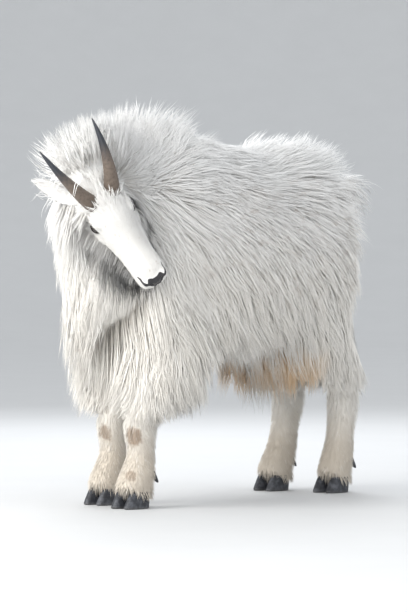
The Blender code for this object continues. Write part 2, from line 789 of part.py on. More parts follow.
def hindleg_style(point, normal):
    """Hanging from the thigh to the hock."""
    out = Vector((normal.x, 0.5 * normal.y + 0.10, 0.0))
    length = min(0.150, point.z - 0.262)
    return Style(out * 0.14 - UP, 0.21, length, 0.066, 0.020, 0.12)


def head_style(point, normal):
    """The poll's curls, the cheeks' ruff and the beard, hanging or swept back."""
    place = point - HEAD_PLACE
    ahead = place.dot(HEAD_AHEAD)
    up = place.dot(HEAD_UP)
    if up > 0.03 * HEAD_SIZE:
        return Style(head_direction(-1.0, 0.0, 0.35), 0.55, 0.060, 0.030, 0.012, 0.0)
    beard = smoothstep(0.11, 0.02, ahead)
    lie = Vector((-0.15, 0.10, -1.0))
    return Style(lie, 0.30, mix(0.060, 0.100, beard), 0.030, 0.012, 0.10)


def tail_style(point, normal):
    side = max(-1.0, min(1.0, point.x / 0.03))
    return Style(Vector((0.35 * side, 1.0, 0.10)), 0.30, 0.110, 0.030, 0.010, 0.02)


def strand(skin, root, normal, style, length, flatten, rng):
    """A lock's path: out of the skin, along the lie of the coat, kept off the skin, drooping to its tip."""
    lie = (style.lie - normal * min(0.0, style.lie.dot(normal))).normalized()
    sway = normal.cross(lie) * rng.uniform(-0.20, 0.20)
    lift = style.lift * flatten
    heading = (lie * (1 - lift) + normal * lift + sway).normalized()
    path = [root - normal * ROOT_SINK]
    normals = [normal]
    step = (length + ROOT_SINK) / LOCK_RINGS
    for k in range(1, LOCK_RINGS + 1):
        share = k / LOCK_RINGS
        here = path[-1] + heading * step
        height, outward = skin.height(here)
        wanted = mix(0.002, max(0.008, style.clear * flatten), share)
        if height < wanted:
            here = here + outward * (wanted - height)
        heading = (here - path[-1]).normalized()
        heading = (heading * 0.72 + lie * 0.28 - UP * style.sag - sway * 0.3).normalized()
        path.append(here)
        normals.append(outward)
    return path, normals


def lock_mesh(path, normals, width, thick, fork):
    """A flat, ridged, tapered clump along a path: three points a ring, ending in one tip or in two."""
    points = []
    last = len(path) - 1
    for k in range(last):
        share = k / last
        along = (path[k + 1] - path[max(k - 1, 0)]).normalized()
        hint = normals[k] + Vector((0.6 * max(-1.0, min(1.0, path[k].x / 0.05)), 0.0, 0.0))
        across = along.cross(hint)
        if across.length < 0.1:
            across = along.cross(normals[0])
        across.normalize()
        outward = across.cross(along)
        half = width / 2 * (0.78, 1.0, 0.80)[k]
        ridge = thick * (1.1, 1.0, 0.7)[k]
        points += [path[k] - across * half, path[k] + across * half, path[k] + outward * ridge]
    faces = [(0, 1, 2)]
    for k in range(last - 1):
        for j in range(3):
            n = (j + 1) % 3
            faces.append((3 * k + j, 3 * k + n, 3 * k + 3 + n, 3 * k + 3 + j))
    left, right, ridge = 3 * last - 3, 3 * last - 2, 3 * last - 1
    step = path[-1] - path[-2]
    if not fork:
        points.append(path[-1])
        return points, faces + [(left, right, ridge + 1), (right, ridge, ridge + 1), (ridge, left, ridge + 1)]
    crotch, tip_a, tip_b = ridge + 1, ridge + 2, ridge + 3
    points.append(path[-2] + step * 0.12)
    points.append(path[-1] - across * half * 0.62 + step * 0.10 * fork)
    points.append(path[-1] + across * half * 0.62 - step * (0.10 * fork + 0.12))
    faces += [(left, crotch, tip_a), (crotch, ridge, tip_a), (ridge, left, tip_a)]
    faces += [(crotch, right, tip_b), (right, ridge, tip_b), (ridge, crotch, tip_b)]
    return points, faces + [(left, right, crotch)]


def grown(points, faces, by):
    """The lock's triangles, swollen from its middle line, for clearance tests."""
    fat = []
    for k in range(LOCK_RINGS):
        ring = points[3 * k:3 * k + 3]
        middle = (ring[0] + ring[1] + ring[2]) / 3
        fat += [point + (point - middle).normalized() * by for point in ring]
    fat += [point + (point - middle).normalized() * by for point in points[3 * LOCK_RINGS:]]
    return BVHTree.FromPolygons(fat, faces)


def bounds(points):
    low = [min(p[i] for p in points) for i in range(3)]
    high = [max(p[i] for p in points) for i in range(3)]
    return low, high


def apart(a, b, margin):
    return any(a[0][i] > b[1][i] + margin or b[0][i] > a[1][i] + margin for i in range(3))


def closeness(name, point):
    """How much nearer together than usual the locks stand: on the hump, the rump's crest and the nape."""
    if name not in ("torso", "neck"):
        return 1.0
    hump = smoothstep(0.86, 0.93, point.z) * (1 - smoothstep(-0.16, 0.00, point.y))
    crest = smoothstep(0.86, 0.91, point.z) * smoothstep(0.00, 0.14, point.y)
    return mix(1.0, 0.74, max(hump, crest))


def roots_on(mesh, name, spacing):
    """Seeded points spread over a skin, no two nearer than the spacing that holds there."""
    rng = np.random.default_rng(SEED + len(name))
    mesh.calc_loop_triangles()
    corners = np.array([[mesh.vertices[v].co[:] for v in t.vertices] for t in mesh.loop_triangles])
    edges_a, edges_b = corners[:, 1] - corners[:, 0], corners[:, 2] - corners[:, 0]
    cross = np.cross(edges_a, edges_b)
    area = np.linalg.norm(cross, axis=1)
    picks = rng.choice(len(area), size=6000, p=area / area.sum())
    u, v = rng.random(len(picks)), rng.random(len(picks))
    flip = u + v > 1
    u[flip], v[flip] = 1 - u[flip], 1 - v[flip]
    places = corners[picks, 0] + edges_a[picks] * u[:, None] + edges_b[picks] * v[:, None]
    normals = cross[picks] / area[picks][:, None]
    kept = np.empty((0, 3))
    found = []
    for place, normal in zip(places, normals):
        apart_by = spacing * closeness(name, Vector(place))
        if len(kept) and np.min(np.sum((kept - place) ** 2, axis=1)) < apart_by**2:
            continue
        kept = np.vstack((kept, place))
        found.append((Vector(place), Vector(normal)))
    return found


COATED = (
    ("torso", torso_style, TORSO_SPACING),
    ("neck", neck_style, NECK_SPACING),
    ("foreleg_upper_left", foreleg_style, LEG_SPACING),
    ("foreleg_upper_right", foreleg_style, LEG_SPACING),
    ("hindleg_upper_left", hindleg_style, LEG_SPACING),
    ("hindleg_upper_right", hindleg_style, LEG_SPACING),
    ("tail", tail_style, TAIL_SPACING),
    ("head", head_style, HEAD_SPACING),
)


def grow_coat(nodes, skin):
    """Roots locks on each coated node, clear of every other node and its locks, and fuses them."""
    graph = bpy.context.evaluated_depsgraph_get()
    bare = {name: BVHTree.FromObject(obj, graph) for name, obj in nodes.items()}
    placed = []
    locks = {}
    for name, style_at, spacing in COATED:
        rng = random.Random(SEED + len(name) * 7)
        locks[name] = []
        others = [tree for other, tree in bare.items() if other != name]
        for root, normal in roots_on(nodes[name].data, name, spacing):
            if any(tree.find_nearest(root, ROOT_MARGIN)[0] is not None for tree in others):
                continue
            normal = (normal + skin.height(root + normal * 0.01)[1]).normalized()
            style = style_at(root, normal)
            if style.length < 0.045 or not rooted(name, root):
                continue
            length = style.length * rng.uniform(0.88, 1.14)
            width = style.width * rng.uniform(0.88, 1.16)
            seed = rng.random()
            fork = rng.choice((-1.0, 1.0)) * rng.uniform(0.4, 1.6) if width > 0.04 else 0
            for shorten, flatten in ((1.0, 1.0), (0.85, 0.6), (0.7, 0.35), (0.55, 0.2)):
                path, normals = strand(skin, root, normal, style, length * shorten, flatten, random.Random(seed))
                if max((b - a).length for a, b in zip(path, path[1:])) > 1.8 * length / LOCK_RINGS:
                    clash = True
                    continue
                thick = LOCK_THICKNESS * (width / 0.08) ** 0.5
                points, faces = lock_mesh(path, normals, width, thick, fork)
                fat = grown(points, faces, 2.5 * GAP)
                box = bounds(points)
                clash = min(p.z for p in points) < 0.01 or any(fat.overlap(tree) for tree in others)
                if not clash:
                    clash = any(
                        other != name and not apart(box, its_box, 0.002) and fat.overlap(tree)
                        for other, its_box, tree in placed
                    )
                if not clash:
                    break
            if clash:
                continue
            placed.append((name, box, BVHTree.FromPolygons(points, faces)))
            locks[name].append((points, faces))
    for name, shapes in locks.items():
        held = bpy.data.collections.new("locks")
        for points, faces in shapes:
            object_from("lock", points, faces, held)
        if shapes:
            keep_largest_surface(combine(nodes[name], held, "UNION"))


def rooted(name, root):
    """Where the head and tail have locks: on the head behind the horns and under the jaw only."""
    if name != "head":
        return True
    place = root - HEAD_PLACE
    ahead, left, up = (place.dot(axis) / HEAD_SIZE for axis in (HEAD_AHEAD, HEAD_LEFT, HEAD_UP))
    if up > 0.03:
        return ahead < -0.055
    return (up < -0.055 and ahead < 0.120) or ahead < -0.050


def settle(nodes):
    """Moves the whole goat so that its bounding box stands centred over the origin."""
    corners = np.array([v.co[:] for obj in nodes.values() for v in obj.data.vertices])
    middle = (corners.min(axis=0) + corners.max(axis=0)) / 2
    for obj in nodes.values():
        obj.data.transform(Matrix.Translation((-middle[0], -middle[1], 0.0)))


def dress(nodes):
    """Gives each node its own material, colours in linear values, and smooth shading."""
    looks = (
        ("horn", HORN_COLOUR, 0.45),
        ("hoof", HOOF_COLOUR, 0.5),
        ("dewclaw", HOOF_COLOUR, 0.5),
        ("eye", EYE_COLOUR, 0.08),
        ("head", FACE_COLOUR, 0.85),
        ("ear", FACE_COLOUR, 0.85),
    )
    for name, obj in nodes.items():
        colour, roughness = COAT_COLOUR, 0.9
        for start, its_colour, its_roughness in looks:
            if name.startswith(start):
                colour, roughness = its_colour, its_roughness
        obj.data.materials.clear()
        obj.data.materials.append(material(name, colour, roughness))
        if start_of(name) in ("horn", "hoof", "dewclaw", "eye", "ear", "head"):
            obj.data.shade_smooth()


def start_of(name):
    return name.partition("_")[0]


def main():
    for obj in list(bpy.data.objects):
        bpy.data.objects.remove(obj)
    goat = bpy.data.collections.new("mountain goat")
    work = bpy.data.collections.new("work")
    bpy.context.scene.collection.children.link(goat)
    bpy.context.scene.collection.children.link(work)
    core = thinned(body_core(work), CORE_TRIANGLES)
    fine = thinned(head_core(work), HEAD_TRIANGLES)
    skin = Skin((core, fine))
    nodes = parted(core, goat)
    held = bpy.data.collections.new("head block")
    region_block("head", -GAP / 2, held)
    head = keep_largest_surface(combine(fine, held, "INTERSECT"))
    head.name = head.data.name = "head"
    move(head, goat)
    nodes["head"] = carve_head(head, work)
    nodes.update(eyes(goat))
    for side in ("left", "right"):
        for piece in (horn(side, goat), ear(side, goat)):
            cutters = bpy.data.collections.new("near nodes")
            for near in ("head", "neck", "torso"):
                swollen(nodes[near], GAP, cutters)
            nodes[piece.name] = keep_largest_surface(combine(piece, cutters, "DIFFERENCE"))
    nodes.update(feet(nodes, goat))
    grow_coat(nodes, skin)
    settle(nodes)
    dress(nodes)


main()
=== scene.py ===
"""A life-size mountain goat, a grown billy in winter coat, as a museum shows it, standing on a pale floor.

+X is the goat's left, -Y is ahead and +Z is up. All sizes are in metres.
"""

import math

import bmesh
import bpy
import numpy as np
import openvdb
from bpy.props import FloatProperty, FloatVectorProperty, IntProperty, PointerProperty
from mathutils import Matrix, Vector


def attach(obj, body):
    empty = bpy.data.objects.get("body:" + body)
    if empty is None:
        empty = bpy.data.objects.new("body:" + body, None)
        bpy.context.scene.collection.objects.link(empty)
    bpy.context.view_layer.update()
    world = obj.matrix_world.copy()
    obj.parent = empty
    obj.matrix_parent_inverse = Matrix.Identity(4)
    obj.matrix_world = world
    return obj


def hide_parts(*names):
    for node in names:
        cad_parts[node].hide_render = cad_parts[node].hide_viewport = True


bl_info = {
    "name": "Mountain goat",
    "version": (1, 0, 0),
    "blender": (4, 5, 0),
    "location": "3D View > Sidebar > Goat",
    "description": "Builds a life-size mountain goat with its skin, coat, horns, eyes and hooves",
    "category": "Add Mesh",
}

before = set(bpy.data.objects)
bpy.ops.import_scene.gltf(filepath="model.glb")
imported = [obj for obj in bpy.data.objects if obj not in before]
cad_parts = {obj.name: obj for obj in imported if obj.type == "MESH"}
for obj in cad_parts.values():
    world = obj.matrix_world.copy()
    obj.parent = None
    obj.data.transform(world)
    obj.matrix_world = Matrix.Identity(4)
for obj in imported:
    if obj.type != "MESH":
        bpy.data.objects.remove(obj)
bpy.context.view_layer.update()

# The body's own middle, seen from the middle of the solids' box
SHIFT = np.array((-0.0006, 0.0193, 0.0))
UP = np.array((0.0, 0.0, 1.0))
AHEAD = np.array((0.0, -1.0, 0.0))

WITHERS_HEIGHT = 0.985
CHEST_DEPTH = 0.57
BARREL_HALF_WIDTH = 0.2
FORE_HOOF = {"left": (0.069, -0.388), "right": (-0.078, -0.338)}
HIND_HOOF = {"left": (0.087, 0.405), "right": (-0.086, 0.352)}
HIP_Y = 0.365
HOCK_BACK = {"left": 0.046, "right": 0.066}

HEAD_PLACE = np.array((0.140, -0.534, 0.757))
HEAD_TURN = math.radians(105)
HEAD_NOD = math.radians(51)
HEAD_TILT = math.radians(59)
HEAD_SIZE = 0.97
EYE_PLACE = (0.0, 0.0485, 0.006)
LID_OPENING = (0.0142, 0.0074)
HORN_ROOT = (-0.047, 0.031, 0.046)
HORN_RISE = (60.0, 20.0)
HORN_SPLAY = (22.0, 7.0)
EAR_ROOT = (-0.086, 0.047, 0.018)

BODY_GRAIN = 0.0081
HEAD_GRAIN = 0.0019

# How near a tuft may come to the middle of a horn or an ear
HORN_REACH = 0.030
EAR_REACH = 0.020

# Half width of a tuft at each of its rings, as a share of its widest
LONG_PROFILE = np.array((0.80, 1.0, 0.84, 0.52, 0.0))
SHORT_PROFILE = np.array((0.85, 0.75, 0.0))

# Arms and thighs: number of the region, spread, hem, lift, height of the tips
LEG_STYLES = ((5, 0.28, 0.232, 0.26, 0.034), (6, 0.22, 0.262, 0.22, 0.024))

PALE_TUFT = (0.96, 0.95, 0.93, 1.0)
SHANK_TINT = (0.62, 0.55, 0.46, 1.0)
# Painted shade: the grey that the white of the face is drawn towards
FACE_PAINTED_SHADE = (0.74, 0.73, 0.71, 1.0)

# Lamps: name, angle from straight ahead, height, distance, size, power, colour
LAMPS = (
    ("key", -18, 2.1, 3.7, 2.8, 138.0, (1.0, 0.985, 0.955)),
    ("front", 24, 0.7, 4.2, 2.8, 84.0, (1.0, 0.98, 0.95)),
    ("fill", 100, 1.8, 3.6, 3.0, 28.0, (0.97, 0.98, 1.0)),
    ("back", 225, 3.0, 3.4, 2.2, 80.0, (0.95, 0.97, 1.0)),
)
SKY = (0.95, 0.975, 1.0, 1.0)
SKY_STRENGTH = 1.06

# The camera: degrees round and up, distance, and metres to one of the frame's 612 rows
CAMERA_TURN = 42.0
CAMERA_RISE = 1.0
CAMERA_FAR = 9.0
ROW_SIZE = 0.0027
FRAME_ROWS = 612.0
AIM_HEIGHT = 0.522
AIM_ACROSS = -3 * ROW_SIZE

SIDES = (("left", 1.0), ("right", -1.0))


# Small sums on arrays


def unit(vectors):
    """Each vector over its own length."""
    return vectors / np.maximum(np.linalg.norm(vectors, axis=-1, keepdims=True), 1e-9)


def smoothstep(low, high, value):
    """0 below low, 1 above high, and 3t^2 - 2t^3 between; low may be the greater."""
    share = np.clip((value - low) / (high - low), 0.0, 1.0)
    return share * share * (3 - 2 * share)


def mix(low, high, share):
    """The straight blend from low to high."""
    return low + (high - low) * share


def blend(low, high, share):
    """The straight blend of two sets of vectors, each with its own share."""
    return low + (high - low) * np.asarray(share)[..., None]


def dot(a, b):
    return np.sum(a * b, axis=-1)


def vectors(*parts):
    """Rows of vectors from arrays and numbers of their parts."""
    return np.stack(np.broadcast_arrays(*parts), -1)


def head_axes():
    """The head's ahead, left and up: turned to the left, nodded down, then rolled with its left side up."""
    ahead = np.array(
        (
            math.sin(HEAD_TURN) * math.cos(HEAD_NOD),
            -math.cos(HEAD_TURN) * math.cos(HEAD_NOD),
            -math.sin(HEAD_NOD),
        )
    )
    level_left = np.array((math.cos(HEAD_TURN), math.sin(HEAD_TURN), 0.0))
    level_up = np.cross(ahead, level_left)
    left = level_left * math.cos(HEAD_TILT) + level_up * math.sin(HEAD_TILT)
    return np.array((ahead, left, np.cross(ahead, left)))


HEAD_AXES = head_axes()


def head_direction(*parts):
    """A direction from its shares ahead, left and up in the head's frame."""
    return vectors(*parts) @ HEAD_AXES


def head_point(*parts):
    """A place from its distances ahead, left and up from the middle between the eyes."""
    return HEAD_PLACE + SHIFT + head_direction(*parts) * HEAD_SIZE


def in_head(points):
    """The head's own distances ahead, left and up of points in space."""
    return ((points - HEAD_PLACE - SHIFT) / HEAD_SIZE) @ HEAD_AXES.T


# Surfaces


def resampled(rows, count):
    """Rows of numbers read as a smooth curve: a Catmull-Rom blend of each four neighbours."""
    rows = np.asarray(rows, float)
    place = np.linspace(0, len(rows) - 1, count)
    first = np.minimum(place.astype(int), len(rows) - 2)
    t = (place - first)[:, None]
    a, b, c, d = (rows[np.clip(first + k, 0, len(rows) - 1)] for k in (-1, 0, 1, 2))
    return b + 0.5 * t * (c - a + t * (2 * a - 5 * b + 4 * c - d + t * (3 * (b - c) + d - a)))


def rings(rows, hint, sides, axis=None):
    """Egg-shaped rings on a path.

    Row: x, y, z, half side, half up, narrow, square. A ring is a superellipse of that power, square to the
    path, whose upper half is drawn in by narrow. Returns rows x sides points.
    """
    rows = np.asarray(rows, float)
    centres = rows[:, :3]
    along = np.gradient(centres, axis=0) if axis is None else np.broadcast_to(axis, centres.shape)
    along = unit(along)
    hint = np.asarray(hint, float)
    up = unit(hint - along * dot(along, hint)[:, None])
    side = np.cross(up, along)
    angle = 2 * np.pi * (np.arange(sides) + 0.5) / sides
    power = 2 / rows[:, 6:7]
    across = np.sign(np.cos(angle)) * np.abs(np.cos(angle)) ** power
    lift = np.sign(np.sin(angle)) * np.abs(np.sin(angle)) ** power
    across = across * (1 - rows[:, 5:6] * lift)
    return (
        centres[:, None]
        + side[:, None] * (rows[:, 3:4] * across)[..., None]
        + up[:, None] * (rows[:, 4:5] * lift)[..., None]
    )


def tube_faces(count, sides):
    """Quads between rings of points that close on themselves, with a fan to a pole at each end."""
    i, j = np.meshgrid(np.arange(count - 1), np.arange(sides), indexing="ij")
    n = (j + 1) % sides
    quads = np.stack((i * sides + j, i * sides + n, (i + 1) * sides + n, (i + 1) * sides + j), -1)
    around = np.arange(sides)
    after = (around + 1) % sides
    first = np.stack((after, around, np.full(sides, count * sides)), -1)
    end = (count - 1) * sides
    last = np.stack((end + around, end + after, np.full(sides, count * sides + 1)), -1)
    return [quads.reshape(-1, 4), first, last]


def closed_tube(grid):
    """A closed skin over a grid of rings, with a pole at the middle of each end ring."""
    count, sides = grid.shape[:2]
    points = np.concatenate((grid.reshape(-1, 3), grid[0].mean(0)[None], grid[-1].mean(0)[None]))
    return points, tube_faces(count, sides)


def ellipsoid(centre, axes, radii, segments=32, rows=20):
    """A ball stretched along three axes: centre + sum of axis x radius x its share of the unit sphere."""
    polar = np.linspace(0, np.pi, rows + 1)[1:-1, None]
    angle = 2 * np.pi * np.arange(segments) / segments
    sphere = np.stack(
        (np.sin(polar) * np.cos(angle), np.sin(polar) * np.sin(angle), np.cos(polar) + 0 * angle), -1
    )
    grid = centre + (sphere * np.asarray(radii)) @ np.asarray(axes)
    points, faces = closed_tube(grid)
    points[-2] = centre + axes[2] * radii[2]
    points[-1] = centre - axes[2] * radii[2]
    return points, faces


def mesh_object(name, points, faces, outwards=True):
    """An object from an array of points and arrays of faces with three or four corners."""
    mesh = bpy.data.meshes.new(name)
    corners = np.concatenate([group.ravel() for group in faces])
    counts = np.concatenate([np.full(len(group), group.shape[1]) for group in faces])
    mesh.vertices.add(len(points))
    mesh.vertices.foreach_set("co", np.ascontiguousarray(points, np.float32).ravel())
    mesh.loops.add(len(corners))
    mesh.loops.foreach_set("vertex_index", corners.astype(np.int32))
    mesh.polygons.add(len(counts))
    mesh.polygons.foreach_set("loop_start", np.concatenate(((0,), np.cumsum(counts)[:-1])).astype(np.int32))
    mesh.update(calc_edges=True)
    if outwards:
        turned_out(mesh)
    mesh.shade_smooth()
    made = bpy.data.objects.new(name, mesh)
    bpy.context.scene.collection.objects.link(made)
    return made


def turned_out(mesh):
    """Turns a closed mesh's faces outwards."""
    shape = bmesh.new()
    shape.from_mesh(mesh)
    bmesh.ops.recalc_face_normals(shape, faces=shape.faces)
    if shape.calc_volume(signed=True) < 0:
        bmesh.ops.reverse_faces(shape, faces=shape.faces)
    shape.to_mesh(mesh)
    shape.free()


def read(items, name, width, kind=np.float32):
    """One property of all the items of a mesh, as rows of that width."""
    values = np.empty(len(items) * width, kind)
    items.foreach_get(name, values)
    return values.reshape(-1, width)


def points_of(obj):
    return read(obj.data.vertices, "co", 3).astype(float)


def triangles_of(obj):
    obj.data.calc_loop_triangles()
    return read(obj.data.loop_triangles, "vertices", 3, np.int32)


def corners_of(mesh):
    return read(mesh.loops, "vertex_index", 1, np.int32)[:, 0]


def set_points(obj, points):
    obj.data.vertices.foreach_set("co", np.ascontiguousarray(points, np.float32).ravel())
    obj.data.update()


def normals_of(obj):
    return read(obj.data.vertex_normals, "vector", 3).astype(float)


def applied(obj):
    """Applies an object's modifiers."""
    graph = bpy.context.evaluated_depsgraph_get()
    mesh = bpy.data.meshes.new_from_object(obj.evaluated_get(graph))
    old = obj.data
    obj.modifiers.clear()
    obj.data = mesh
    bpy.data.meshes.remove(old)
    mesh.name = obj.name
    mesh.shade_smooth()
    return obj


def joined(name, parts):
    """One mesh object from many closed forms, each points and faces."""
    points, faces, start = [], [], 0
    for some_points, some_faces in parts:
        points.append(some_points)
        faces += [group + start for group in some_faces]
        start += len(some_points)
    return mesh_object(name, np.concatenate(points), faces)


def melted(obj, voxel, smoothing):
    """Melts overlapping closed forms into one skin by a voxel remesh, then smooths it."""
    remesh = obj.modifiers.new("melt", "REMESH")
    remesh.mode = "VOXEL"
    remesh.voxel_size = voxel
    smooth = obj.modifiers.new("smooth", "SMOOTH")
    smooth.factor = 0.5
    smooth.iterations = smoothing
    return applied(obj)


def combined(obj, others, operation):
    """Joins closed objects to obj, or cuts them from it, and removes them."""
    held = bpy.data.collections.new("operands")
    for other in others:
        held.objects.link(other)
    boolean = obj.modifiers.new("combine", "BOOLEAN")
    boolean.operation = operation
    boolean.operand_type = "COLLECTION"
    boolean.collection = held
    boolean.solver = "MANIFOLD"
    applied(obj)
    for other in others:
        bpy.data.objects.remove(other)
    bpy.data.collections.remove(held)
    return obj


def relaxed(obj, weight, rounds):
    """Moves each vertex towards the mean of its neighbours by its own weight, a number of times."""
    a, b = read(obj.data.edges, "vertices", 2, np.int32).T
    points = points_of(obj)
    count = np.bincount(a, minlength=len(points)) + np.bincount(b, minlength=len(points))
    for _ in range(rounds):
        total = np.stack(
            [
                np.bincount(a, points[b, k], len(points)) + np.bincount(b, points[a, k], len(points))
                for k in range(3)
            ],
            -1,
        )
        points = blend(points, total / np.maximum(count, 1)[:, None], weight)
    set_points(obj, points)


# The forms of the body


def torso_rows(depth):
    """Chest, barrel and rump as rows of y, middle height, half width, half height, narrowing of the top."""
    top = WITHERS_HEIGHT
    wide = BARREL_HALF_WIDTH
    tall = CHEST_DEPTH
    rows = [
        (-0.490, 0.605, 0.060, 0.090, 0.1),
        (-0.460, 0.620, 0.105, 0.165, 0.15),
        (-0.400, top - 0.455 * tall - 0.072, 0.82 * wide * 0.88, 0.455 * tall, 0.25),
        (-0.320, top - 0.5 * tall - 0.012, 0.86 * wide, 0.5 * tall, 0.36),
        (-0.240, top - 0.5 * tall, 0.91 * wide, 0.5 * tall, 0.40),
        (-0.140, top - 0.485 * tall - 0.014, 0.96 * wide, 0.485 * tall, 0.34),
        (0.000, 0.672, wide, 0.238, 0.16),
        (0.120, 0.668, wide, 0.230, 0.12),
        (0.240, 0.697, 0.96 * wide, 0.231, 0.18),
        (0.340, 0.724, 0.88 * wide, 0.212, 0.22),
        (0.420, 0.728, 0.72 * wide, 0.168, 0.16),
        (0.468, 0.735, 0.47 * wide, 0.115, 0.1),
        (0.488, 0.738, 0.22 * wide, 0.060, 0.0),
    ]
    y, z, w, h, narrow = np.array(rows).T
    y = y * (1 - depth / 0.49)
    zero = np.zeros_like(y)
    w = np.maximum(w - depth, 0.4 * w)
    h = np.maximum(h - depth, 0.4 * h)
    return np.stack((zero, y, z, w, h, narrow, zero + 2.2), -1)


def neck_rows(depth):
    """From inside the shoulders to the back of the skull, bending to the left."""
    back = head_point(-0.078, -0.004, -0.012) - SHIFT
    front = head_point(-0.045, 0.0, -0.020) - SHIFT
    rows = [
        (0.000, -0.240, 0.760, 0.125 - depth, 0.195 - depth, 0.15, 2.0),
        (0.000, -0.340, 0.778, 0.122 - depth, 0.182 - depth, 0.15, 2.0),
        (0.008, -0.420, 0.806, 0.112 - depth, 0.150 - depth, 0.12, 2.0),
        (0.036, -0.482, 0.822, 0.098 - 0.8 * depth, 0.118 - 0.8 * depth, 0.08, 2.0),
        (*back, 0.066 - 0.3 * depth, 0.078 - 0.3 * depth, 0.0, 2.0),
        (*front, 0.045, 0.055, 0.0, 2.0),
    ]
    return np.array(rows)


def foreleg_rows(side, depth):
    """Shoulder to coronet, as rows of centre, half width and half the front-to-back size."""
    x, y = FORE_HOOF[side]
    s = math.copysign(1.0, x)
    rows = [
        (s * 0.092, y + 0.090, 0.690, 0.060, 0.120, 0.8),
        (s * 0.108, y + 0.088, 0.600, 0.070, 0.122, 0.9),
        (s * 0.112, y + 0.098, 0.500, 0.070, 0.105, 0.9),
        (s * 0.106, y + 0.084, 0.400, 0.070, 0.092, 0.9),
        (s * 0.094, y + 0.062, 0.310, 0.060, 0.072, 0.7),
        (x, y + 0.034, 0.232, 0.039, 0.042, 0.10),
        (x, y + 0.032, 0.195, 0.038, 0.040, 0.07),
        (x, y + 0.034, 0.150, 0.033, 0.035, 0.07),
        (x, y + 0.030, 0.112, 0.037, 0.040, 0.07),
        (x, y + 0.020, 0.082, 0.041, 0.045, 0.07),
        (x, y + 0.006, 0.052, 0.042, 0.048, 0.07),
        (x, y + 0.000, 0.038, 0.042, 0.049, 0.07),
    ]
    return leg_rows(rows, depth)


def hindleg_rows(side, depth):
    """Haunch to coronet, with the stifle ahead and the hock behind."""
    x, y = HIND_HOOF[side]
    hock = HOCK_BACK[side]
    s = math.copysign(1.0, x)
    rows = [
        (s * 0.088, HIP_Y - 0.060, 0.760, 0.075, 0.120, 1.0),
        (s * 0.104, HIP_Y - 0.062, 0.660, 0.078, 0.136, 1.0),
        (s * 0.108, HIP_Y - 0.064, 0.560, 0.068, 0.124, 0.9),
        (s * 0.104, mix(HIP_Y, y, 0.3) - 0.036, 0.460, 0.054, 0.092, 0.7),
        (mix(s * 0.1, x, 0.4), mix(HIP_Y, y, 0.5) + 0.33 * hock, 0.375, 0.042, 0.066, 0.4),
        (mix(s * 0.1, x, 0.8), mix(HIP_Y, y, 0.8) + hock, 0.300, 0.036, 0.050, 0.15),
        (x, y + 0.97 * hock, 0.250, 0.035, 0.043, 0.07),
        (x, y + 0.79 * hock, 0.185, 0.034, 0.038, 0.07),
        (x, y + 0.61 * hock, 0.125, 0.037, 0.041, 0.07),
        (x, y + 0.36 * hock, 0.085, 0.041, 0.045, 0.07),
        (x, y + 0.007, 0.052, 0.042, 0.048, 0.07),
        (x, y + 0.000, 0.038, 0.042, 0.049, 0.07),
    ]
    return leg_rows(rows, depth)


def leg_rows(rows, depth):
    """Draws each ring in by its own share of the coat's depth."""
    x, y, z, wide, long, share = np.array(rows).T
    zero = np.zeros_like(x)
    return np.stack((x, y, z, wide - depth * share, long - depth * share, zero, zero + 2.2), -1)


def tail_rows():
    return np.array(
        [
            (0.0, 0.430, 0.815, 0.026, 0.026, 0.0, 2.0),
            (0.0, 0.500, 0.843, 0.022, 0.022, 0.0, 2.0),
            (0.0, 0.560, 0.856, 0.017, 0.015, 0.0, 2.0),
            (0.0, 0.600, 0.861, 0.010, 0.008, 0.0, 2.0),
        ]
    )


def skull_rows():
    """The head's length as sections of ahead, top, bottom, half width, narrowing of the top, squareness."""
    rows = [
        (-0.122, 0.012, -0.030, 0.020, 0.0, 2.0),
        (-0.108, 0.036, -0.052, 0.044, 0.0, 2.0),
        (-0.080, 0.054, -0.080, 0.056, 0.0, 2.1),
        (-0.045, 0.061, -0.093, 0.059, 0.02, 2.2),
        (-0.010, 0.060, -0.095, 0.0595, 0.04, 2.3),
        (0.022, 0.052, -0.090, 0.055, 0.06, 2.3),
        (0.052, 0.040, -0.084, 0.0490, 0.10, 2.2),
        (0.085, 0.029, -0.078, 0.0435, 0.10, 2.2),
        (0.115, 0.020, -0.074, 0.0410, 0.08, 2.3),
        (0.143, 0.012, -0.071, 0.0405, 0.04, 2.4),
        (0.165, 0.006, -0.070, 0.0410, 0.0, 2.4),
        (0.184, -0.003, -0.068, 0.0385, 0.0, 2.3),
        (0.199, -0.014, -0.062, 0.0310, 0.0, 2.2),
        (0.208, -0.027, -0.050, 0.0170, 0.0, 2.0),
    ]
    ahead, top, bottom, half, narrow, square = resampled(rows, 40).T
    centres = head_point(ahead, 0.0, (top + bottom) / 2)
    size = np.stack((half * HEAD_SIZE, (top - bottom) / 2 * HEAD_SIZE, narrow, square), -1)
    return np.concatenate((centres, size), axis=1)


HEAD_BUMPS = (
    # place ahead, out, up; radii along, across, up
    ((-0.004, 0.046, 0.024), (0.026, 0.012, 0.012)),
    ((0.012, 0.047, -0.020), (0.036, 0.014, 0.014)),
    ((-0.048, 0.044, -0.050), (0.036, 0.020, 0.034)),
    ((-0.050, 0.031, 0.040), (0.027, 0.025, 0.026)),
    ((0.188, 0.025, -0.022), (0.018, 0.013, 0.014)),
    ((0.178, 0.026, -0.043), (0.026, 0.014, 0.012)),
)


def shaped(rows, hint, sides, count):
    """A closed form through smoothed rings, in the frame of the solids."""
    rows = resampled(rows, count)
    rows[:, :3] += SHIFT
    return closed_tube(rings(rows, hint, sides))


def body_forms(depth):
    forms = [shaped(torso_rows(depth), UP, 40, 60), shaped(tail_rows(), UP, 16, 14)]
    forms.append(shaped(neck_rows(depth), UP, 32, 30))
    for side, _ in SIDES:
        forms.append(shaped(foreleg_rows(side, depth * 0.75), AHEAD, 28, 70))
        forms.append(shaped(hindleg_rows(side, depth * 0.75), AHEAD, 28, 70))
    return forms


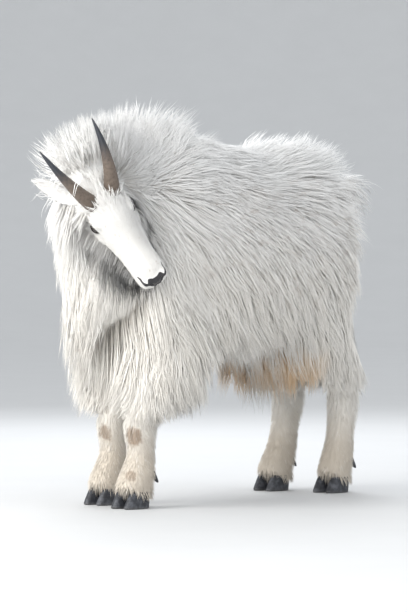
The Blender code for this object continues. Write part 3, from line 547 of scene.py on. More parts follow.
def eye_centre(s):
    ahead, out, up = EYE_PLACE
    return head_point(ahead, s * out, up)


def eye_axes(s):
    """The eye looks outwards, a little ahead and up; its opening runs along the head."""
    look = unit(head_direction(0.30, s * 0.90, 0.30))
    along = head_direction(0.97, 0.0, -0.24)
    along = unit(along - look * dot(along, look))
    return np.array((along, np.cross(look, along), look))


def head_skin(radius):
    """The head: skull, brows, cheeks, horn bosses and muzzle melted together, then lids and eye sockets."""
    end = resampled(neck_rows(0.024)[3:], 12)
    end[:, :3] += SHIFT
    parts = [closed_tube(rings(skull_rows(), HEAD_AXES[2], 40)), closed_tube(rings(end, UP, 28))]
    for _, s in SIDES:
        for (ahead, out, up), radii in HEAD_BUMPS:
            parts.append(ellipsoid(head_point(ahead, s * out, up), HEAD_AXES, np.array(radii) * HEAD_SIZE))
    chin = head_point(0.176, 0.0, -0.064)
    parts.append(ellipsoid(chin, HEAD_AXES, np.array((0.026, 0.027, 0.014))))
    head = melted(joined("head skin", parts), HEAD_GRAIN, 7)
    lids, cutters = [], []
    for side, s in SIDES:
        axes = eye_axes(s)
        centre = eye_centre(s)
        lid = radius + 0.0026
        lid_ball = ellipsoid(centre, axes, (lid * 1.08, lid * 0.98, lid), 48, 32)
        lids.append(mesh_object("lid " + side, *lid_ball))
        socket = radius + 0.0002
        cutters.append(mesh_object("socket " + side, *ellipsoid(centre, axes, (socket,) * 3, 48, 32)))
        ends = [
            (*(centre + axes[2] * reach), *LID_OPENING, 0.0, 1.5)
            for reach in (radius + 0.012, radius * 0.30)
        ]
        cutters.append(mesh_object("opening " + side, *closed_tube(rings(ends, axes[1], 40))))
    combined(head, lids, "UNION")
    combined(head, cutters, "DIFFERENCE")
    return head


def ridge(value, middle, width):
    """A smooth hump, 1 at the middle and 0.37 at one width away."""
    return np.exp(-(((value - middle) / width) ** 2))


def mouth_height(ahead):
    """How high the line between the lips runs, from the front back along the cheek."""
    return -0.0495 - 0.0025 * smoothstep(0.206, 0.180, ahead) + 0.0040 * smoothstep(0.165, 0.120, ahead)


def along_nostril(side, up):
    """A nostril's own frame: the way along its slit, which rises outwards, and the way down across it."""
    run = (side - 0.0225) * 0.86 + (up + 0.0225) * 0.50
    slant = (side - 0.0225) * 0.50 - (up + 0.0225) * 0.86
    return run, slant


def nose_mask(ahead, side, up):
    """1 on the bare black nose: a pad between the nostrils, narrow above the lip, and an arm on each slit."""
    run, slant = along_nostril(side, up)
    arm = 1 - np.hypot(run / 0.0185, (slant + 0.0005) / 0.0078)
    half = mix(0.011, 0.024, smoothstep(-0.046, -0.024, up))
    pad = np.minimum(half - side, np.minimum(up + 0.047, -0.0095 - up)) / 0.010
    wing = 1 - np.hypot((side - 0.0145) / 0.0165, (up + 0.0205) / 0.0125)
    front = smoothstep(0.160, 0.172, ahead)
    return smoothstep(-0.16, 0.26, np.maximum(np.maximum(arm, wing), pad)) * front


def fold_head(head):
    """Works the soft folds into the head's skin by moving it along its normals.

    Lips: a groove on the mouth's line between two swellings. Nostrils: deep comma-shaped hollows under a
    raised wing. Eyes: a crease above the upper lid and one below the lower, and a tear duct's furrow.
    Cheek: the hollow ahead of the jaw muscle and the facial crest. Chin: a dimple behind the lip.
    """
    points = points_of(head)
    normals = normals_of(head)
    ahead, out, up = in_head(points).T
    side = np.abs(out)
    move = np.zeros(len(points))
    lips = smoothstep(0.108, 0.125, ahead)
    line = up - mouth_height(ahead)
    front = smoothstep(0.10, 0.14, ahead)
    move -= 0.0026 * ridge(line, 0.0, 0.0016) * lips
    move += 0.0012 * ridge(line, 0.0050, 0.0034) * front
    move += 0.0010 * ridge(line, -0.0052, 0.0034) * front
    run, slant = along_nostril(side, up)
    nose = smoothstep(0.166, 0.182, ahead)
    comma = np.exp(-((run / 0.0105) ** 2) - (((slant - 6 * run * run) / 0.0030) ** 2)) * nose
    move -= 0.0085 * comma
    wing = np.exp(-((run / 0.012) ** 2) - (((slant + 0.0072) / 0.0038) ** 2)) * nose
    move += 0.0018 * wing
    groove = smoothstep(0.186, 0.196, ahead) * smoothstep(-0.018, -0.030, up)
    move -= 0.0016 * ridge(out, 0.0, 0.0014) * groove
    for _, s in SIDES:
        place = (points - eye_centre(s)) @ eye_axes(s).T
        far = np.hypot(place[:, 0] / 1.35, place[:, 1])
        facing = place[:, 2] > 0
        upper = smoothstep(-0.002, 0.006, place[:, 1])
        lower = smoothstep(0.002, -0.006, place[:, 1])
        move -= 0.0016 * ridge(far, 0.0165, 0.0014) * upper * facing
        move += 0.0012 * ridge(far, 0.0205, 0.0024) * upper * facing
        move -= 0.0010 * ridge(far, 0.0150, 0.0013) * lower * facing
        move -= 0.0008 * ridge(far, 0.0195, 0.0012) * lower * facing
        duct = np.hypot((place[:, 0] - 0.0215) / 1.8, place[:, 1] + 0.0030)
        move -= 0.0022 * ridge(duct, 0.0, 0.0032) * facing
    crest = up + 0.018 + 0.16 * (ahead - 0.02)
    cheeks = smoothstep(0.030, 0.042, side) * smoothstep(-0.03, 0.01, ahead) * smoothstep(0.12, 0.08, ahead)
    move += 0.0018 * ridge(crest, 0.0, 0.0055) * cheeks
    move -= 0.0018 * ridge(crest, -0.016, 0.010) * cheeks
    move -= 0.0016 * ridge(ahead, 0.150, 0.010) * ridge(up, -0.064, 0.006) * ridge(out, 0.0, 0.018)
    set_points(head, points + normals * move[:, None])


# The lie of the coat


class Field:
    """Signed distances to the skin on a grid of cubes, and its slope, read between the grid's points."""

    def __init__(self, obj, step, reach):
        points = points_of(obj)
        grid = openvdb.FloatGrid.createLevelSetFromPolygons(
            points.astype(np.float32),
            triangles=triangles_of(obj).astype(np.uint32),
            transform=openvdb.createLinearTransform(voxelSize=step),
            halfWidth=reach / step,
        )
        low = np.floor(points.min(0) / step).astype(int) - int(reach / step) - 2
        high = np.ceil(points.max(0) / step).astype(int) + int(reach / step) + 2
        self.values = np.empty(tuple(high - low + 1), np.float32)
        grid.copyToArray(self.values, ijk=tuple(int(v) for v in low))
        self.low = low
        self.step = step

    def height(self, points):
        """The distance outside the skin, blended from the eight nearest grid points."""
        place = points / self.step - self.low
        place = np.clip(place, 0, np.array(self.values.shape) - 1.001)
        cell = place.astype(int)
        part = place - cell
        total = 0.0
        for corner in range(8):
            step = np.array((corner & 1, corner >> 1 & 1, corner >> 2 & 1))
            share = np.prod(np.where(step, part, 1 - part), axis=-1)
            total = total + share * self.values[tuple((cell + step).T)]
        return total

    def outward(self, points):
        """The way out of the skin: the slope of the height, by differences of one step."""
        step = self.step
        slope = [
            self.height(points + step * axis) - self.height(points - step * axis) for axis in np.eye(3)
        ]
        return unit(np.stack(slope, -1))


def scattered(obj, wanted, weight, rng):
    """Points spread at random over a mesh, as many as wanted, thicker where the weight is greater."""
    a, b, c = points_of(obj)[triangles_of(obj)].transpose(1, 0, 2)
    cross = np.cross(b - a, c - a)
    area = np.linalg.norm(cross, axis=1) * weight((a + b + c) / 3, unit(cross))
    edges = np.cumsum(area) / area.sum()
    slots = (np.arange(wanted) + rng.random(wanted)) / wanted
    picks = np.minimum(np.searchsorted(edges, slots), len(area) - 1)
    u, v = rng.random(wanted), rng.random(wanted)
    u, v = np.where(u + v > 1, 1 - u, u), np.where(u + v > 1, 1 - v, v)
    return a[picks] + (b - a)[picks] * u[:, None] + (c - a)[picks] * v[:, None], unit(cross)[picks]


REGIONS = ("neck", "hump", "flank_left", "flank_right", "rump", "chaps", "breeches")


def region_of(points):
    """The number in REGIONS of the part of the coat that points belong to; -1 on the head and the shanks."""
    x, y, z = (points - SHIFT).T
    ahead, _, up = in_head(points).T
    head = (ahead * 0.78 + up * 0.62 > -0.088 * 0.78) & (y < -0.40)
    neck = (y + 0.395) * 0.93 - (z - 0.760) * 0.37 < 0
    fore_top = 0.432 - np.clip((0.105 - np.abs(x)) * 1.0, -0.2, 0.1)
    hind_top = 0.500 - np.clip((0.118 - np.abs(x)) * 0.66, -0.2, 0.1)
    fore = (z < fore_top) & (y < -0.14)
    hind = (z < hind_top) & (y > 0.19)
    shank = (fore & (z < 0.240)) | (hind & (z < 0.288))
    choices = [
        (head | shank, -1),
        (fore, 5),
        (hind, 6),
        (neck, 0),
        ((y < 0.0) & (z > 0.72), 1),
        (y > 0.235, 4),
        (x > 0, 2),
    ]
    return np.select([mask for mask, _ in choices], [value for _, value in choices], 3)


def belly_hem(points):
    """How low the hair hangs: high behind the elbows, lowest along the middle ahead of the thighs."""
    x, y, _ = (points - SHIFT).T
    middle = smoothstep(0.14, 0.05, np.abs(x))
    hem = mix(0.372, 0.228, smoothstep(0.02, 0.18, y) * mix(0.50, 1.0, middle))
    return hem - 0.11 * smoothstep(-0.20, -0.30, y) + 0.022 * drift(points * 1.7)


def hem_of(points, region):
    """The lowest a tuft's tip may reach, by its part of the coat."""
    hems = np.array((0.27, 0.50, 0.0, 0.0, 0.0, 0.234, 0.285))[region]
    return np.where((region >= 2) & (region <= 4), belly_hem(points), hems)


def restyled(style, there, lie, *rest):
    """A style of the coat with its lie and its other numbers changed where there is true."""
    return (
        np.where(there[:, None], lie, style[0]),
        *(np.where(there, new, old) for new, old in zip(rest, style[1:])),
    )


def long_style(points, normals, region):
    """How the long coat lies: its direction, lift off the skin, length, the tip's height and its droop.

    Back and down along the flanks, erect and fanned on the hump and the crest of the rump, hanging from
    the throat, belly, arms and thighs. Each part is a smoothstep mask and a straight blend of directions.
    """
    x, y, z = (points - SHIFT).T
    nx, ny, nz = normals.T
    low = smoothstep(0.92, 0.62, z)
    side = np.clip(x / 0.16, -1, 1)
    hump = smoothstep(0.80, 0.92, z) * (1 - smoothstep(-0.35, -0.17, y))
    crest = smoothstep(0.82, 0.90, z) * smoothstep(-0.12, 0.20, y)
    saddle = smoothstep(0.80, 0.88, z) * smoothstep(-0.17, -0.05, y) * (1 - smoothstep(0.08, 0.24, y))
    chest = smoothstep(-0.30, -0.42, y)
    under = smoothstep(-0.30, -0.75, nz)
    lie = vectors(0.22 * side, mix(0.90, 0.30, low), -mix(0.10, 1.0, low))
    lie = blend(lie, vectors(0.30 * side, 0.05, -1), chest)
    fan = unit(points - SHIFT - np.array((0.0, -0.20, 0.70))) + np.array((0.0, 0.45, 0.0))
    lie = blend(lie, unit(fan), 0.9 * hump)
    lie = blend(lie, vectors(0.25 * side, 0.75, 0.45), 0.7 * crest)
    rear = np.maximum(smoothstep(0.25, 0.80, ny), smoothstep(0.27, 0.40, y)) * (1 - crest)
    lie = blend(lie, vectors(0.15 * side, 0.10, -1), rear)
    lift = mix(0.24, 0.46, hump) + 0.16 * crest + 0.12 * saddle - 0.15 * rear
    lie = blend(lie, vectors(0.10 * side, 0.10, -1), under)
    lift = mix(lift, 0.50, under)
    hem = belly_hem(points)
    length = 0.165 - 0.058 * hump - 0.020 * crest - 0.030 * rear + 0.045 * chest + 0.022 * saddle
    length = mix(length, np.clip(z - hem + 0.02, 0.07, 0.25), under)
    gap = chest * smoothstep(0.13, 0.05, np.abs(x)) * smoothstep(0.40, 0.46, z)
    length = length + 0.030 * gap
    clear = mix(mix(0.034, 0.030, low), 0.050, hump)
    clear = clear + 0.030 * gap + 0.022 * crest + 0.030 * saddle - 0.024 * rear
    sag = mix(0.10, 0.0, np.maximum(hump, crest))

    neck = region == 0
    nape = smoothstep(0.80, 0.90, z)
    fan = unit(points - SHIFT - np.array((0.01, -0.32, 0.70)))
    fan = unit(fan * (0.5, 1.0, 1.0) + (0.0, 0.35, 0.0))
    beside = np.clip((x - 0.02) / 0.12, -1, 1)
    swept = 0.10 + 0.55 * smoothstep(0.66, 0.80, z)
    throat = blend(vectors(0.10 * beside, swept, -1), fan, nape)
    throat_low = smoothstep(0.74, 0.60, z)
    style = restyled(
        (lie, lift, length, clear, sag),
        neck,
        throat,
        mix(0.25, 0.46, nape),
        mix(mix(0.160, 0.215, throat_low), 0.100, nape),
        mix(0.040, 0.046, throat_low),
        mix(0.12, 0.0, nape),
    )

    for number, spread, hem, up, high in LEG_STYLES:
        hanging = vectors(nx, np.minimum(ny, 0.3 * ny) + 0.05, 0.0) * spread - UP
        span = np.clip(z - hem, 0.02, 0.150)
        above = high - 0.020 * smoothstep(0.2, 0.8, ny)
        style = restyled(style, region == number, hanging, up, span, above, 0.10)

    tail = (y > 0.470) & (z > 0.775) & (np.abs(x) < 0.05)
    plume = vectors(0.45 * np.clip(x / 0.03, -1, 1), 0.70, -0.75)
    lie, *rest = restyled(style, tail, plume, 0.30, 0.088, 0.010, 0.12)
    return unit(lie), *rest


def drift(points):
    """A slow wandering between -1 and 1: the mean of three sine waves that run across one another."""
    x, y, z = points.T
    one = np.sin(23 * x + 11 * y + 5 + 2 * np.sin(9 * z))
    two = np.sin(17 * y - 19 * z + 1 + 2 * np.sin(7 * x))
    three = np.sin(31 * z + 13 * x - 27 * y)
    return (one + two + 0.6 * three) / 2.6


def marched(field, roots, normals, lie, lift, length, high, sag, sway, spans, sink):
    """Paths of the tufts, spans + 1 points each.

    Each step goes on along a heading that leaves the skin by its lift, is kept at least as high over the
    skin as its share of the wanted height, turns towards the lie, and droops.
    """
    lie = unit(lie - normals * np.minimum(dot(lie, normals), 0)[:, None])
    swing = np.cross(normals, lie) * sway[:, None]
    heading = unit(blend(lie, normals, lift) + swing)
    path = [roots - normals * sink]
    step = ((length + sink) / spans)[:, None]
    for k in range(1, spans + 1):
        here = path[-1] + heading * step
        height = field.height(here)
        short = np.maximum(mix(0.002, high, (k / spans) ** 0.85) - height, 0)
        here = here + field.outward(here) * short[:, None]
        heading = unit(here - path[-1])
        here = path[-1] + heading * step
        heading = unit(heading * 0.72 + lie * 0.28 - UP * sag[:, None] - swing * 0.3)
        path.append(here)
    return np.stack(path, 1)


def clumped(paths, leaders, pull, spread):
    """Draws each tuft's path towards the nearest leader's, more towards the tip: share^1.4 of the pull."""
    roots = paths[:, 0]
    heads = roots[leaders]
    nearest = np.empty(len(roots), int)
    for start in range(0, len(roots), 4000):
        some = roots[start : start + 4000]
        far = np.sum(some**2, 1)[:, None] - 2 * some @ heads.T + np.sum(heads**2, 1)
        nearest[start : start + 4000] = np.argmin(far, 1)
    guide = paths[leaders][nearest]
    share = np.linspace(0, 1, paths.shape[1]) ** 1.4
    drawn = guide + (roots - guide[:, 0])[:, None] * spread
    return paths + (drawn - paths) * (share * pull[:, None])[..., None], nearest


def tuft_mesh(name, paths, outward, width, flat, profile, tone, unwrap):
    """Closed three-sided tapering spikes on paths: two edges across and one ridge outwards at each ring.

    A ring's point is the path's point + across x cos(angle) x half width + out x sin(angle) x half x flat,
    with the half width following the profile, and the last point closes the tip. The map OFBake gives each
    tuft a small patch at its root's place on the unwrap; along and tone are kept for the finish.
    """
    count, length = paths.shape[:2]
    last = length - 1
    along = unit(np.gradient(paths, axis=1))[:, :last]
    across = np.cross(outward[:, None], along)
    across = unit(across)
    ridge_way = np.cross(along, across)
    angle = np.radians((210.0, 330.0, 90.0))
    half = (width[:, None] * profile[None, :last])[..., None, None]
    offset = (
        across[:, :, None] * np.cos(angle)[:, None] + ridge_way[:, :, None] * (np.sin(angle) * flat)[:, None]
    )
    ring = paths[:, :last, None] + offset * half
    points = np.concatenate((ring.reshape(count, -1, 3), paths[:, last:]), 1)
    per = 3 * last + 1
    j = np.arange(3)
    n = (j + 1) % 3
    k = np.arange(last - 1)[:, None]
    quads = np.stack((3 * k + j, 3 * k + n, 3 * k + 3 + n, 3 * k + 3 + j), -1).reshape(-1, 4)
    end = 3 * (last - 1)
    tips = np.concatenate((((0, 2, 1),), np.stack((end + j, end + n, np.full(3, per - 1)), -1)))
    start = (np.arange(count) * per)[:, None, None]
    obj = mesh_object(
        name, points.reshape(-1, 3), [(quads + start).reshape(-1, 4), (tips + start).reshape(-1, 3)], False
    )
    mesh = obj.data
    soften(mesh, outward, per)
    shares = np.concatenate((np.repeat(np.arange(last) / last, 3), (1.0,)))
    for label, values in (("along", np.tile(shares, count)), ("tone", np.repeat(tone, per))):
        mesh.attributes.new(label, "FLOAT", "POINT").data.foreach_set("value", values.astype(np.float32))
    corner = corners_of(mesh)
    sideways = np.concatenate((np.tile((0.0, 1.0, 0.5), last), (0.5,)))
    patch = np.stack((np.tile(sideways, count), np.tile(shares, count)), -1) * 0.003
    flat_map = np.repeat(unwrap, per, axis=0) + patch
    mesh.uv_layers.new(name="OFBake").data.foreach_set("uv", flat_map[corner].astype(np.float32).ravel())
    return obj


def soften(mesh, outward, per):
    """Shading normals: 0.4 x the mesh's own + the coat's outward direction, so that hair reads as soft."""
    normals = read(mesh.vertex_normals, "vector", 3)
    turned = unit(normals * 0.40 + np.repeat(outward, per, axis=0))
    mesh.normals_split_custom_set_from_vertices(turned)


def leg_middle(points, inside):
    """The mean of the points inside one leg; any place will do where there are none."""
    return np.mean(points[inside], 0) if np.any(inside) else UP


def coat_piece(name, slot, material, roots, paths, outward, width, flat, profile, tone, keep=slice(None)):
    """A piece of the coat from the tufts that are kept, dressed in its finish."""
    unwrap = unwrapped(roots[keep])
    coat = tuft_mesh(name, paths[keep], outward[keep], width[keep], flat, profile, tone[keep], unwrap)
    dressed(coat, material, slot)


def unwrapped(points):
    """Each root's place on an unwrap of the body: cylinders round the trunk and round each leg.

    On the trunk u is the angle about its long axis and v runs from the nose to the tail. On a leg u is the
    angle about the leg, in the leg's own quarter of the map, and v is the height.
    """
    x, y, z = points.T
    low = z < 0.42
    leg = (x > 0).astype(int) + 2 * (y > 0.05)
    middle = np.array([leg_middle(points, low & (leg == k)) for k in range(4)])
    round_leg = np.arctan2(y - middle[leg, 1], x - middle[leg, 0]) / (2 * np.pi) + 0.5
    u = np.where(low, (leg + round_leg) / 4, np.arctan2(x, z - 0.68) / (2 * np.pi) + 0.5)
    v = np.where(low, z * 2.2, (y + 0.76) / 1.54)
    return np.clip(np.stack((u, v), -1), 0, 1) * 0.99


# Finishes


class Wire:
    """A socket of a finish; sums on it add Math nodes."""

    def __init__(self, finish, socket):
        self.finish = finish
        self.socket = socket

    def _sum(self, operation, *values):
        sockets = dict(enumerate(values))
        return self.finish.node("ShaderNodeMath", {"operation": operation}, sockets)

    def __add__(self, other):
        return self._sum("ADD", self, other)

    __radd__ = __add__

    def __sub__(self, other):
        return self._sum("SUBTRACT", self, other)

    def __rsub__(self, other):
        return self._sum("SUBTRACT", other, self)

    def __mul__(self, other):
        return self._sum("MULTIPLY", self, other)

    __rmul__ = __mul__

    def __pow__(self, other):
        return self._sum("POWER", self, other)

    def most(self, other):
        return self._sum("MAXIMUM", self, other)


class Finish:
    """A material made by expressions."""

    def __init__(self, name):
        self.material = bpy.data.materials.new(name)
        self.material.use_nodes = True
        self.tree = self.material.node_tree
        self.shader = self.tree.nodes["Principled BSDF"]

    def node(self, kind, settings=None, sockets=None, output=0):
        """One node of any kind: its settings first, then its sockets' values or links."""
        made = self.tree.nodes.new(kind)
        for key, value in (settings or {}).items():
            setattr(made, key, value)
        for key, value in (sockets or {}).items():
            if isinstance(value, Wire):
                self.tree.links.new(value.socket, made.inputs[key])
            else:
                made.inputs[key].default_value = value
        return Wire(self, made.outputs[output])

    def place(self):
        return self.node("ShaderNodeTexCoord", output="Object")

    def parts(self, vector):
        made = self.node("ShaderNodeSeparateXYZ", sockets={0: vector})
        outputs = made.socket.node.outputs
        return [Wire(self, outputs[k]) for k in range(3)]

    def attribute(self, name):
        return self.node("ShaderNodeAttribute", {"attribute_name": name}, output="Fac")

    def step(self, value, low, high):
        """A smoothstep of the value from low to high; high may be the lesser."""
        settings = {"interpolation_type": "SMOOTHSTEP"}
        if low < high:
            sockets = {"Value": value, "From Min": low, "From Max": high}
        else:
            sockets = {"Value": value, "From Min": high, "From Max": low, "To Min": 1.0, "To Max": 0.0}
        return self.node("ShaderNodeMapRange", settings, sockets)

    def noise(self, vector, scale, detail=3.0, roughness=0.5):
        sockets = {"Vector": vector, "Scale": scale, "Detail": detail, "Roughness": roughness}
        return self.node("ShaderNodeTexNoise", None, sockets)

    def stretched(self, vector, factors):
        return self.node("ShaderNodeVectorMath", {"operation": "MULTIPLY"}, {0: vector, 1: factors})

    def nearness(self, vector, centre, radius):
        """1 at a place, falling smoothly to 0 at the radius."""
        far = self.node("ShaderNodeVectorMath", {"operation": "DISTANCE"}, {0: vector, 1: centre}, "Value")
        return self.step(far, radius, 0.0)

    def colours(self, low, high, share):
        settings = {"data_type": "RGBA", "clamp_factor": True}
        sockets = {0: share, 6: low, 7: high}
        return self.node("ShaderNodeMix", settings, sockets, 2)

    def bump(self, height, strength, distance, normal=None):
        sockets = {"Height": height, "Strength": strength, "Distance": distance}
        if normal is not None:
            sockets["Normal"] = normal
        return self.node("ShaderNodeBump", None, sockets)

    def finished(self, **sockets):
        """Sets or links the shader's own sockets."""
        for name, value in sockets.items():
            socket = self.shader.inputs[name.replace("_", " ")]
            if isinstance(value, Wire):
                self.tree.links.new(value.socket, socket)
            else:
                socket.default_value = value
        return self.material


def coat_colour(finish, place, settings):
    """The coat's colours by place: white, creamier below, stained on the belly, knees and chest, painted
    shade on the face.
    """
    _, y, z = finish.parts(place)
    white = (*settings.white, 1.0)
    cream = (*settings.cream, 1.0)
    rust = (*settings.rust, 1.0)
    umber = (*settings.umber, 1.0)
    cloud = finish.noise(place, 9.0, 4.0, 0.6)
    fine = finish.noise(place, 60.0, 3.0, 0.6)
    low = finish.step(z + cloud * 0.22, 1.04, 0.50)
    colour = finish.colours(white, cream, low * 0.60)
    flank = finish.step(y, -0.36, -0.10) * finish.step(z, 0.92, 0.80) * finish.step(z, 0.44, 0.58)
    streaks = finish.noise(finish.stretched(place, (40.0, 9.0, 14.0)), 2.2, 4.0, 0.65)
    colour = finish.colours(colour, umber, flank * finish.step(streaks, 0.50, 0.76) * 0.62)
    belly = finish.nearness(place, (0.09, 0.225, 0.340), 0.160)
    belly = belly.most(finish.nearness(place, (-0.06, 0.225, 0.350), 0.160))
    colour = finish.colours(colour, rust, finish.step(belly + cloud * 0.7 - 0.35, 0.12, 0.80) * 0.85)
    colour = finish.colours(colour, SHANK_TINT, finish.step(z + cloud * 0.08, 0.30, 0.14) * 0.92)
    # Painted shade: the white greyed around the face
    face = finish.nearness(place, tuple(float(v) for v in head_point(0.08, 0.0, -0.02)), 0.26)
    colour = finish.colours(colour, FACE_PAINTED_SHADE, finish.step(face, 0.1, 0.7) * 0.62)
    for centre, radius, depth in STAINS:
        mark = finish.nearness(place, centre, radius)
        colour = finish.colours(colour, umber, finish.step(mark + fine * 1.1 - 0.55, 0.14, 0.62) * depth)
    return colour


STAINS = (
    # knees, shank and chest: place, reach, depth of the stain
    ((0.078, -0.381, 0.186), 0.046, 0.88),
    ((-0.072, -0.340, 0.190), 0.044, 0.80),
    ((0.085, -0.393, 0.087), 0.026, 0.60),
    ((-0.040, -0.420, 0.430), 0.060, 0.42),
    ((0.030, -0.470, 0.530), 0.034, 0.34),
    ((0.062, -0.460, 0.560), 0.026, 0.30),
)


def coat_finish(settings, name, root_shade):
    """Hair: the coat's colours, each tuft a little lighter or darker, greyer at its root than at its tip by
    painted shade.
    """
    finish = Finish(name)
    place = finish.place()
    colour = coat_colour(finish, place, settings)
    tone = finish.attribute("tone")
    along = finish.attribute("along")
    # Painted shade between the hairs: each tuft greyer towards its root
    shade = finish.step(along, 0.0, 0.55)
    lit = shade * root_shade + (1 - root_shade)
    dim = finish.colours((*settings.root_painted_shade, 1.0), (1.0, 1.0, 1.0, 1.0), lit)
    colour = finish.node(
        "ShaderNodeMix", {"data_type": "RGBA", "blend_type": "MULTIPLY"}, {0: 1.0, 6: colour, 7: dim}, 2
    )
    pale = finish.step(tone, 0.2, 1.0)
    dark = finish.step(tone, -0.2, -1.0)
    colour = finish.colours(colour, PALE_TUFT, pale * 0.35)
    colour = finish.colours(colour, (*settings.umber, 1.0), dark * 0.09)
    material = finish.finished(Base_Color=colour, Roughness=0.62, Specular_IOR_Level=0.35)
    finish.shader.inputs["Sheen Weight"].default_value = 0.25
    finish.shader.inputs["Sheen Roughness"].default_value = 0.5
    return material


def skin_finish(settings):
    """Undercoat and short face hair: the coat's colours, painted shade under the long coat, the dark nose and
    lid rims, and fine lying hair.
    """
    finish = Finish("undercoat")
    place = finish.place()
    colour = coat_colour(finish, place, settings)
    nose = finish.attribute("nose")
    rim = finish.attribute("rim")
    mottle = finish.noise(place, 420.0, 3.0, 0.6)
    dark = finish.colours((0.012, 0.012, 0.014, 1.0), (0.045, 0.042, 0.045, 1.0), mottle)
    shade = finish.attribute("shade_under_coat")
    # Painted shade: the skin darker where the long coat covers it
    colour = finish.colours(colour, (0.80, 0.73, 0.64, 1.0), shade * 0.5)
    colour = finish.colours(colour, dark, finish.step(nose + mottle * 0.22, 0.48, 0.72))
    colour = finish.colours(colour, (0.030, 0.024, 0.022, 1.0), finish.step(rim, 0.35, 0.7))
    hair = finish.noise(place, 380.0, 4.0, 0.7)
    coarse = finish.noise(place, 90.0, 3.0, 0.6)
    height = hair * 0.5 + coarse * 0.9
    wet = finish.step(nose, 0.5, 0.7)
    bump = finish.bump(height, 0.55, 0.0022)
    return finish.finished(Base_Color=colour, Roughness=0.72 - wet * 0.36, Normal=bump)


def horn_finish(settings):
    """Horn: brown grey with fine rings near the base, blue-black and smoother towards the tip."""
    finish = Finish("horn sheath")
    place = finish.place()
    along = finish.attribute("along")
    rough = finish.noise(place, 130.0, 4.0, 0.6)
    worn = finish.step(rough, 0.42, 0.75) * 0.6
    base = finish.colours((*settings.horn_base, 1.0), (0.042, 0.032, 0.026, 1.0), worn)
    tip = finish.colours((*settings.horn_tip, 1.0), (0.030, 0.034, 0.046, 1.0), rough)
    colour = finish.colours(base, tip, finish.step(along + rough * 0.14, 0.42, 0.80))
    ring = finish.node("ShaderNodeMath", {"operation": "SINE"}, {0: along * 420.0 + rough * 5.0})
    grain = finish.noise(place, 900.0, 3.0, 0.6)
    height = ring * (1 - finish.step(along, 0.25, 0.7)) * 0.5 + grain * 0.5 + rough * 0.6
    bump = finish.bump(height, 0.5, 0.0007)
    gloss = mix_wire(0.46, 0.30, finish.step(along, 0.35, 0.8))
    return finish.finished(Base_Color=colour, Roughness=gloss + rough * 0.08, Normal=bump)


def mix_wire(low, high, share):
    return share * (high - low) + low


def hoof_finish(settings):
    """Claw horn: slate black with growth bands across and fine grain down the wall, dusty at the toe."""
    finish = Finish("claw horn")
    place = finish.place()
    _, _, z = finish.parts(place)
    cloud = finish.noise(place, 60.0, 4.0, 0.6)
    grain = finish.noise(finish.stretched(place, (500.0, 500.0, 40.0)), 1.0, 3.0, 0.6)
    colour = finish.colours((*settings.hoof, 1.0), (0.085, 0.090, 0.105, 1.0), finish.step(cloud, 0.4, 0.72))
    colour = finish.colours(colour, (0.16, 0.155, 0.15, 1.0), finish.step(z, 0.010, 0.0) * 0.35)
    bands = finish.node("ShaderNodeMath", {"operation": "SINE"}, {0: z * 1500.0 + cloud * 6.0})
    bump = finish.bump(bands * 0.35 + grain * 0.65, 0.45, 0.0007)
    return finish.finished(Base_Color=colour, Roughness=0.42 + cloud * 0.16, Normal=bump)


def eye_finish(settings):
    """Eye: brown iris with fine rays, a pupil lying along the lids, dark rim, under a wet clear coat."""
    finish = Finish("eye")
    across = finish.node("ShaderNodeUVMap", {"uv_map": "iris"})
    u, v, _ = finish.parts(across)
    far = ((u * u) + (v * v)) ** 0.5
    rays = finish.noise(finish.stretched(across, (26.0, 26.0, 1.0)), 1.6, 3.0, 0.7)
    iris = finish.colours((*settings.iris, 1.0), (0.030, 0.013, 0.006, 1.0), rays)
    pupil = finish.step((u * u * 0.30 + v * v * 3.2) ** 0.5, 0.40, 0.32)
    colour = finish.colours(iris, (0.004, 0.004, 0.005, 1.0), pupil)
    colour = finish.colours(colour, (0.010, 0.006, 0.005, 1.0), finish.step(far, 0.72, 0.86))
    return finish.finished(Base_Color=colour, Roughness=0.12, Coat_Weight=1.0, Coat_Roughness=0.03)


def ear_finish(settings):
    """Ear: short white hair outside, thin pinkish grey skin in the hollow."""
    finish = Finish("ear skin")
    place = finish.place()
    inner = finish.attribute("inner")
    cloud = finish.noise(place, 80.0, 3.0, 0.6)
    hollow = finish.step(inner + cloud * 0.3, 0.45, 1.0) * 0.6
    colour = finish.colours((*settings.white, 1.0), (0.80, 0.72, 0.68, 1.0), hollow)
    hair = finish.noise(place, 420.0, 4.0, 0.7)
    return finish.finished(Base_Color=colour, Roughness=0.75, Normal=finish.bump(hair, 0.5, 0.0015))


# What a user may change


def size_setting(name, description, default):
    return FloatProperty(name=name, description=description, default=default, min=0.0, unit="LENGTH")


def count_setting(name, description, default):
    return IntProperty(name=name, description=description, default=default, min=100)


def colour_setting(name, description, default):
    return FloatVectorProperty(
        name=name, description=description, default=default, subtype="COLOR", min=0.0, max=1.0
    )


